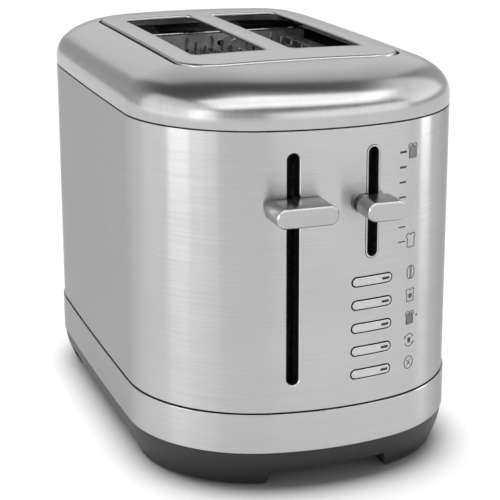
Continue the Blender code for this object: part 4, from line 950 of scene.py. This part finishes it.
# ---------------- controls
KNOB_RADIUS = 0.0047
KNOB_CHAMFER = 0.0009
NECK_NARROWER = 0.0019     # how much the shade knob's neck is drawn in at each end
LIP_DEPTHS = (("left", -1, 0.0039), ("right", 1, 0.0046))
LENS_SEAT = 0.0002
BUTTON_FACE = -0.0003      # the button's face stands this far in front of the sheet


def knob_ring(low, high, inset, y, narrower=0.0):
    """Rounded block outline in the XZ plane, drawn in at its two round ends."""
    radius = KNOB_RADIUS - inset
    reach_x = (high.x - low.x) / 2 - inset - narrower - radius
    reach_z = (high.z - low.z) / 2 - inset - radius
    ring = []
    for side_x, side_z, start in ((1, 1, 0.0), (-1, 1, 90.0), (-1, -1, 180.0), (1, -1, 270.0)):
        corner_x = (low.x + high.x) / 2 + side_x * reach_x
        corner_z = (low.z + high.z) / 2 + side_z * reach_z
        ring += oval(corner_x, corner_z, radius, radius, start, start + 90.0, 12)
    return [(x, y, z) for x, z in ring]


def build_knob(name, node, body, neck):
    """Extruded knob with a bright chamfer round its face; a neck sets a rear flange apart."""
    low, high = body_box(node)
    front, back = low.y, high.y
    levels = [(0.0004, back), (0.0001, back - 0.0001), (0.0, back - 0.0004)]
    if neck:
        levels += [(0.00005, back - 0.0006), (0.00005, back - 0.0007, NECK_NARROWER),
                   (0.00005, back - 0.0021, NECK_NARROWER), (0.00005, back - 0.0022)]
    levels += [(0.0, front + KNOB_CHAMFER + 0.0002), (0.00006, front + KNOB_CHAMFER),
               (KNOB_CHAMFER * 0.5, front + 0.00042), (KNOB_CHAMFER - 0.0001, front + 0.00006),
               (KNOB_CHAMFER + 0.0001, front + 0.00001), (0.0022, front)]
    rings = [knob_ring(low, high, *level) for level in levels]
    knob = loft(name, rings, "satin_knob_metal", sharp=28.0)
    stands_for(knob, body, "satin_knob_metal", node)


def build_shadow_lips(name, x, slot, corners):
    """Two near-black lips, painted shade in a control slot; corners: (distance from its middle,
    inset).
    """
    bottom, top = slot[1] + 0.0004, slot[2] - 0.0004
    for end, side, depth in LIP_DEPTHS:
        points = [front_point(x + side * reach, depth + inset) for reach, inset in corners]
        lip = prism(name + "_" + end, points, "Z", bottom, top, "painted_shade_black")
        stands_for(lip, "housing", "black_rubber")


def build_lever_slot():
    """Black liner behind the lever slot, with near-black lips inside it as painted shade."""
    middle, size = slot_middle(LEVER_SLOT)
    levels = [(0.0, 0.0010), (0.0012, 0.0010), (0.0012, 0.0036), (0.0, 0.0036)]
    liner = panel_pill("lever_slot_liner", LEVER_X, middle, size, levels, "black_plastic", True)
    stands_for(liner, "housing", "black_plastic", "lever_slot_trim")
    edge, tip = size[0] / 2 + 0.0006, 0.0013
    build_shadow_lips("lever_slot_shadow_lip", LEVER_X, LEVER_SLOT,
                    ((edge, 0.0), (tip, 0.0006), (tip, 0.0010), (edge, 0.0005)))


def build_shade_slot():
    """Bright rounded bezel of the shade slot, with near-black lips inside it as painted shade."""
    middle, size = slot_middle(SHADE_SLOT)
    half_wall, proud = SHADE_BEZEL / 2, 0.0003
    levels = [(0.0, 0.0036), (0.0, 0.0001),
              *oval(half_wall, -0.00002, half_wall, proud, 180.0, 360.0, 6),
              (SHADE_BEZEL, 0.0001), (SHADE_BEZEL, 0.0036)]
    bezel = panel_pill("shade_slot_bezel", SHADE_X, middle, size, levels, "satin_knob_metal", True)
    stands_for(bezel, "housing", "satin_knob_metal", "shade_slot_trim")
    edge, tip = size[0] / 2 + 0.0002, 0.0020
    build_shadow_lips("shade_slot_shadow_lip", SHADE_X, SHADE_SLOT,
                    ((edge, 0.0), (tip, 0.0), (tip, 0.0004), (edge, 0.0004)))


def darken_sides(piece):
    """Make the part of a button behind its metal cap near-black: painted shade in the gap round it.
    """
    piece.data.materials.append(LOOKS["painted_shade_black"])
    for polygon in piece.data.polygons:
        centre = polygon.center
        if inset_at(centre.x, centre.y - MIDDLE_Y) > 0.0002 and abs(polygon.normal.y) < 0.7:
            polygon.material_index = 1


def build_buttons():
    """Five pill-shaped push buttons, each with a fine groove and the window of its light."""
    face, groove = BUTTON_FACE, BUTTON_FACE + 0.00008
    levels = [(-0.0001, 0.0092), (-0.0001, 0.0002), (-0.00014, -0.0001), (-0.00024, -0.00022),
              (-0.0004, face + 0.00002), (-0.0006, face), (-0.0008, face), (-0.00086, groove),
              (-0.00096, groove), (-0.00102, face), (-0.0013, face)]
    seat_levels = [(LENS_SEAT, -0.002), (LENS_SEAT, 0.0024)]
    lens_levels = [(-0.0001, face + 0.0001), (0.0, face + 0.0002), (0.0, 0.0020)]
    window_x = BUTTON_X + WINDOW_OFFSET_X
    for index, function in enumerate(BUTTON_NAMES):
        z = button_height(index)
        button = panel_pill("push_button_" + function, BUTTON_X, z, BUTTON_SIZE, levels,
                            "button_metal")
        darken_sides(button)
        cut(button, panel_pill("window_seat", window_x, z, WINDOW_SIZE, seat_levels, None))
        stands_for(button, "push_" + function, "satin_knob_metal", "button_" + function)
        window = panel_pill("light_lens_" + function, window_x, z, WINDOW_SIZE, lens_levels,
                            "smoked_window")
        stands_for(window, "push_" + function, "smoked_window", "light_window_" + function)


# ---------------- marks printed on the panel
INK_PROUD = 0.00005
INK_DEPTH = 0.0001
INK_LINE = 0.00042
TICK_X = (0.0364, 0.0406)
TICK_TOP = 0.17347
TICK_PITCH = 0.00787
ICON_X = 0.0452
SHADE_ICON_X = 0.0447
ICON_SIZE = (0.0056, 0.0068)
SHADE_ICON_SIZE = (0.0058, 0.0074)
RING_SIZE = (0.0030, 0.0034)
TICKS = 7


def ink_line(mesh, points, width=INK_LINE, closed=False):
    """A thin printed line through points given as (x, z) on the panel."""
    rings = []
    count = len(points)
    for index, (x, z) in enumerate(points):
        before = points[index - 1] if closed or index else points[0]
        after = points[(index + 1) % count] if closed or index < count - 1 else points[-1]
        along = Vector((after[0] - before[0], after[1] - before[1])).normalized()
        side_x, side_z = -along.y * width / 2, along.x * width / 2
        left, right = (x + side_x, z + side_z), (x - side_x, z - side_z)
        rings.append([on_panel(*left, -INK_PROUD), on_panel(*right, -INK_PROUD),
                      on_panel(*right, INK_DEPTH), on_panel(*left, INK_DEPTH)])
    skin(mesh, rings, closed, not closed)


def ink_cross(mesh, x, z, ends, width=INK_LINE):
    """Straight lines through (x, z), each given by the offset of one of its ends."""
    for across, up in ends:
        ink_line(mesh, [(x - across, z - up), (x + across, z + up)], width)


def slice_outline(x, z, width, height):
    """A slice of bread: a foot with cut corners, and two round shoulders."""
    half, lobe = width / 2, width * 0.25
    side, sole, cut_corner = half * 0.84, half * 0.74, width * 0.05
    foot, shoulder = z - height / 2, z + height / 2 - lobe
    points = [(x - side, foot + cut_corner), (x - sole, foot), (x + sole, foot),
              (x + side, foot + cut_corner)]
    points += oval(x + half - lobe, shoulder, lobe, lobe, -55.0, 158.0, 12)
    points += oval(x - half + lobe, shoulder, lobe, lobe, 22.0, 235.0, 12)
    return points


def toasted_slice(mesh, x, z, width, height):
    """A slice shaded with close lines."""
    ink_line(mesh, slice_outline(x, z, width, height), closed=True)
    rows, half = 10, width * 0.37
    for row in range(rows):
        level = z - height * 0.42 + height * 0.74 * row / (rows - 1)
        ink_cross(mesh, x, level, [(half, 0.0)], INK_LINE * 0.9)


def bagel_mark(mesh, x, z):
    """Two halves of a roll."""
    for side, start in ((-1, 90.0), (1, -90.0)):
        half = oval(x + side * 0.0004, z, 0.0021, 0.0036, start, start + 180.0, 18)
        ink_line(mesh, half, closed=True)


def frozen_mark(mesh, x, z):
    """A slice with a six-pointed star."""
    ink_line(mesh, slice_outline(x, z, *ICON_SIZE), closed=True)
    star = [oval(0.0, 0.0, 0.0015, 0.0015, turn, turn, 1)[0] for turn in (90.0, 30.0, 150.0)]
    ink_cross(mesh, x, z - 0.0004, star, INK_LINE * 1.6)


def extra_mark(mesh, x, z):
    """A shaded slice with a small plus beside it."""
    toasted_slice(mesh, x, z, *ICON_SIZE)
    ink_cross(mesh, x + 0.0050, z + 0.0002, ((0.0007, 0.0), (0.0, 0.0007)))


def reheat_mark(mesh, x, z):
    """Two arrows that turn round a small slice."""
    sweep_angle, barb = 130.0, 0.0011
    for start in (20.0, 200.0):
        stop = start + sweep_angle
        sweep = oval(x, z, *RING_SIZE, start, stop, 18)
        ink_line(mesh, sweep)
        for turn in (stop - 30.0, stop + 60.0):
            ink_line(mesh, [sweep[-1], oval(*sweep[-1], barb, barb, turn, turn, 1)[0]])
    patch = slice_outline(x, z, 0.0022, 0.0028)
    rings = [[on_panel(*point, inset) for point in patch] for inset in (-INK_PROUD, INK_DEPTH)]
    skin(mesh, rings, capped=True)


def cancel_mark(mesh, x, z):
    """A crossed circle."""
    ink_line(mesh, oval(x, z, *RING_SIZE), closed=True)
    ink_cross(mesh, x, z, ((0.0014, -0.0017), (0.0014, 0.0017)))


def build_panel_marks():
    """Browning scale beside the shade slider and one plain sign beside each button."""
    mesh = bmesh.new()
    for index in range(TICKS):
        z = TICK_TOP - index * TICK_PITCH
        ink_line(mesh, [(TICK_X[0], z), (TICK_X[1], z)], 0.00115 - index * 0.00009)
    toasted_slice(mesh, SHADE_ICON_X, TICK_TOP, *SHADE_ICON_SIZE)
    pale_slice = slice_outline(SHADE_ICON_X, TICK_TOP - (TICKS - 1) * TICK_PITCH, *SHADE_ICON_SIZE)
    ink_line(mesh, pale_slice, closed=True)
    for index, mark in enumerate((bagel_mark, frozen_mark, extra_mark, reheat_mark, cancel_mark)):
        mark(mesh, ICON_X, button_height(index))
    marks = new_piece("panel_marks", mesh, "printed_ink")
    stands_for(marks, "housing", "black_plastic")


# ---------------- inside
def build_guards():
    """Welded guards of round wire; the uprights lean out at the top to let the bread in."""
    wire, uprights, lean = 0.00078, 9, 0.0008
    for name in ("left_outer", "left_inner", "right_inner", "right_outer"):
        low, high = body_box("bread_guard_" + name)
        x = (low.x + high.x) / 2
        away = math.copysign(1.0, x) if name.endswith("outer") else -math.copysign(1.0, x)
        front, rear = low.y + wire, high.y - wire
        knee = high.z - 0.0060
        mesh = bmesh.new()
        for index in range(uprights):
            y = front + (rear - front) * index / (uprights - 1)
            points = [(x, y, low.z + 0.0002), (x, y, high.z - 0.0120), (x, y, knee)]
            points += [(x + away * lean * share ** 2, y, knee + 0.0050 * share)
                       for share in (0.35, 0.7, 1.0)]
            tube(mesh, points, wire)
        beside = x + away * wire * 1.3
        for z in (low.z + 0.004, (low.z + high.z) / 2, high.z - 0.0085):
            tube(mesh, [(beside, front - wire, z), (beside, rear + wire, z)], wire)
        guard = new_piece("wire_guard_" + name, mesh, "plain_steel")
        stands_for(guard, "guard_" + name, "plain_steel", "bread_guard_" + name)


def build_end_plate(name, node, inner_face):
    """Punched end plate, with pressed rings on its inner face and a folded top edge."""
    low, high = body_box(node)
    front, rear = low.y, high.y
    side, leg, top, shelf = high.x, 0.0600, high.z, 0.0235
    polygon = [(-side, low.z), (-leg, low.z), (-leg, shelf), (leg, shelf), (leg, low.z),
               (side, low.z), (side, top), (-side, top)]
    plate = prism(name, polygon, "Y", front, rear, "zinc_plated_steel")
    middles = (-SLOT_CENTRE_X, SLOT_CENTRE_X)
    rack_half, rack_bottom, rack_top = 0.0028, 0.0400, 0.1560
    vent_x, vent_radius, vent_drops = 0.0135, 0.0021, (0.0070, 0.0250, 0.0430)
    cutters = []
    for x in middles:
        shapes = [box_polygon((x - rack_half, rack_bottom), (x + rack_half, rack_top))]
        shapes += [circle((x - vent_x, top - drop), vent_radius, 24) for drop in vent_drops]
        shapes += [box_polygon((x + 0.0078, top - 0.0200), (x + 0.0090, top - 0.0050)),
                   box_polygon((x - 0.0040, top - 0.0340), (x + 0.0060, top - 0.0322))]
        cutters += [prism("punch", shape, "Y", front - 0.004, rear + 0.004) for shape in shapes]
    cut(plate, *cutters)
    stands_for(plate, "housing", "zinc_plated_steel", node)

    mesh = bmesh.new()
    face = front if inner_face == "front" else rear
    ring_radius, ring_wire, fold_radius = 0.0062, 0.0005, 0.0009
    for x in middles:
        ring = circle((x - 0.0020, top - 0.0110), ring_radius)
        tube(mesh, [(across, face, up) for across, up in [*ring, ring[0]]], ring_wire, 8)
    reach, fold_y, fold_z = side - 0.0005, (front + rear) / 2, top - 0.0002
    tube(mesh, [(-reach, fold_y, fold_z), (reach, fold_y, fold_z)], fold_radius, 12)
    trim = new_piece(name + "_pressings", mesh, "plain_steel")
    stands_for(trim, "housing", "plain_steel")


def build_rear_flanges():
    """Flanges behind the bread slots, folded back from the rear end plate."""
    _, high = body_box("rear_chassis_plate")
    root, tip, top = high.y + 0.0002, high.y + 0.0170, high.z
    polygon = [(root, top - 0.0012), (tip, top + 0.0030), (tip, top + 0.0024),
               (root, top - 0.0020)]
    for end, x in (("left", -SLOT_CENTRE_X), ("right", SLOT_CENTRE_X)):
        flange = prism("rear_end_flange_" + end, polygon, "X", x - 0.0230, x + 0.0035,
                       "zinc_plated_steel")
        stands_for(flange, "housing", "zinc_plated_steel")


def build_spring():
    """Coil spring with its foot on the carriage and its head on the rod bracket; it stays where
    built.
    """
    low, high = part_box("return_spring")
    middle = ((low.x + high.x) / 2, (low.y + high.y) / 2)
    wire, turns, steps = 0.0004, 22, 22
    radius = (high.x - low.x) / 2 - wire
    rise = (high.z - low.z - 2 * wire) / (turns * steps)
    coil = circle((middle[0], middle[1] - MIDDLE_Y), radius, steps)
    points = [(*coil[step % steps], low.z + wire + rise * step)
              for step in range(turns * steps + 1)]
    mesh = bmesh.new()
    tube(mesh, points, wire, 8)
    spring = new_piece("return_spring_coil", mesh, "plain_steel")
    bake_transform(spring)
    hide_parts("return_spring")


# ---------------- stage, light and camera
LIGHT_TARGET = Vector((0.0, 0.0, 0.12))
SOFTBOXES = (       # name, azimuth and elevation, distance, width, height, radiance
    ("overhead_softbox", 0.0, 70.0, 1.70, 2.70, 0.92, 1.72),
    ("front_softbox", 0.0, 50.0, 1.70, 2.70, 0.40, 1.65),
    ("low_front_softbox", 27.0, 12.0, 2.00, 2.60, 0.80, 0.90),
    ("left_softbox", -90.0, 22.0, 1.65, 2.20, 1.60, 0.78),
    ("left_front_softbox", -58.0, 10.0, 1.60, 0.65, 0.90, 0.95),
    ("left_strip", -80.5, 9.0, 1.60, 0.58, 0.84, 2.45),
    ("right_softbox", 90.0, 34.0, 1.70, 1.70, 1.50, 0.94),
    ("right_strip", 80.5, 6.0, 1.60, 0.36, 0.84, 4.50),
    ("back_softbox", 164.0, 32.0, 1.80, 1.60, 1.40, 0.56),
)
SKY = ((0.0, 0.60), (0.32, 0.52), (0.55, 0.26), (0.72, 0.08), (0.955, 0.08), (1.0, 0.60))
FLOOR_LEVEL = 1.08


def build_floor():
    mesh = bmesh.new()
    bmesh.ops.create_grid(mesh, x_segments=8, y_segments=8, size=6.0)
    data = bpy.data.meshes.new("floor")
    mesh.to_mesh(data)
    mesh.free()
    floor = add_object("floor", data)
    shader = Shader("studio_floor", 0.0, 0.65, Specular_IOR_Level=0.2)
    shader.colour(shader.noise(3.0), grey(0.88), grey(0.90))
    data.materials.append(shader.material)
    return floor


def softbox(name, azimuth, elevation, distance, width, height, radiance):
    """A rectangular light that faces the toaster; azimuth 0 is in front and grows to the right."""
    turn, rise = math.radians(azimuth), math.radians(elevation)
    direction = Vector((math.sin(turn) * math.cos(rise), -math.cos(turn) * math.cos(rise),
                        math.sin(rise)))
    light = bpy.data.lights.new(name, "AREA")
    light.shape = "RECTANGLE"
    light.size = width
    light.size_y = height
    light.energy = radiance * math.pi * width * height
    lamp = add_object(name, light)
    lamp.location = LIGHT_TARGET + direction * distance
    lamp.rotation_euler = direction.to_track_quat("Z", "Y").to_euler()
    lamp.visible_camera = False
    return lamp


def build_world():
    """Plain surroundings, paler near the horizon; the camera itself sees white."""
    world = bpy.data.worlds.new("studio")
    world.use_nodes = True
    bpy.context.scene.world = world
    tree = world.node_tree
    tree.nodes.clear()
    kinds = ("TexCoord", "SeparateXYZ", "ValToRGB", "Background", "Background", "LightPath",
             "MixShader", "OutputWorld")
    place, parts, ramp, around, white, path, mix, out = [tree.nodes.new("ShaderNode" + kind)
                                                         for kind in kinds]
    while len(ramp.color_ramp.elements) < len(SKY):
        ramp.color_ramp.elements.new(0.5)
    for element, (position, value) in zip(ramp.color_ramp.elements, SKY):
        element.position = position
        element.color = (*grey(value), 1.0)
    white.inputs["Color"].default_value = (1.0, 1.0, 1.0, 1.0)
    for source, target in ((place.outputs["Generated"], parts.inputs[0]),
                           (parts.outputs["Z"], ramp.inputs[0]),
                           (ramp.outputs[0], around.inputs["Color"]),
                           (path.outputs["Is Camera Ray"], mix.inputs[0]),
                           (around.outputs[0], mix.inputs[1]),
                           (white.outputs[0], mix.inputs[2]),
                           (mix.outputs[0], out.inputs["Surface"])):
        tree.links.new(source, target)


def linked(name, things, state="INCLUDE"):
    """A collection that says which things a light reaches, or which it passes by."""
    collection = bpy.data.collections.new(name)
    for thing in things:
        collection.objects.link(thing)
    for entry in collection.collection_objects:
        entry.light_linking.link_state = state
    return collection


def build_floor_light(floor):
    """Even light on the floor alone, which keeps it white around a short contact shadow."""
    light = bpy.data.lights.new("floor_light", "SUN")
    light.energy = FLOOR_LEVEL * math.pi
    light.angle = math.radians(72.0)
    lamp = add_object("floor_light", light)
    lamp.rotation_euler = (math.radians(-26.0), 0.0, 0.0)
    lamp.light_linking.receiver_collection = linked("lit_floor", [floor])
    casters = [bpy.data.objects["base_moulding"]]
    lamp.light_linking.blocker_collection = linked("shadow_casters", casters)


def build_light():
    """Softboxes all round that pass the floor by; the two strips pass the cover by as well."""
    build_world()
    floor = build_floor()
    build_floor_light(floor)
    boxes = [softbox(*place) for place in SOFTBOXES]
    toaster_only = linked("not_the_floor", [floor], "EXCLUDE")
    walls_only = linked("not_the_cover", [floor, bpy.data.objects["top_cover_shell"]], "EXCLUDE")
    for box in boxes:
        beside_walls = box.name.endswith("strip")
        box.light_linking.receiver_collection = walls_only if beside_walls else toaster_only


def build_camera():
    """The photographer's place: front left, a little above the toaster."""
    data = bpy.data.cameras.new("camera")
    data.sensor_width = 36.0
    data.lens = 110.5
    data.shift_y = -0.10
    data.clip_start = 0.05
    data.clip_end = 50.0
    camera = add_object("camera", data)
    camera.location = (-0.285, -0.820, 0.348)
    yaw, pitch, roll = math.radians(19.38), math.radians(14.80), math.radians(0.13)
    forward = Vector((math.sin(yaw) * math.cos(pitch), math.cos(yaw) * math.cos(pitch),
                      -math.sin(pitch)))
    camera.rotation_mode = "QUATERNION"
    camera.rotation_quaternion = Quaternion(forward, roll) @ forward.to_track_quat("-Z", "Y")
    bpy.context.scene.camera = camera


# ---------------- assembly
def dress_cad_nodes():
    """Give each CAD node its finish, the lever arm a painted-shade black; visible ones get softened
    edges.
    """
    for part in frame["record"]["subparts"]:
        node = frame["nodes"][part["node"]]
        node.data.materials.clear()
        # the lever arm is darkened to paint the shade inside the slot it runs in
        look = "painted_shade_steel" if part["node"] == "lever_arm" else part["material_slot"]
        node.data.materials.append(LOOKS[look])
        soften(node, 0.00015)


build_camera()
dress_cad_nodes()
build_top_cover()
build_slot_plate()
build_body_wrap()
build_lower_band()
build_base()
build_feet()
build_gland()
build_tray()
build_tray_grip()
build_knob("lift_knob_body", "lift_knob", "lift", False)
build_knob("shade_knob_body", "shade_knob", "shade", True)
build_lever_slot()
build_shade_slot()
build_buttons()
build_panel_marks()
build_guards()
build_end_plate("front_end_plate", "front_chassis_plate", "rear")
build_end_plate("rear_end_plate", "rear_chassis_plate", "front")
build_rear_flanges()
build_spring()
build_light()

bpy.context.scene.view_settings.view_transform = "Standard"
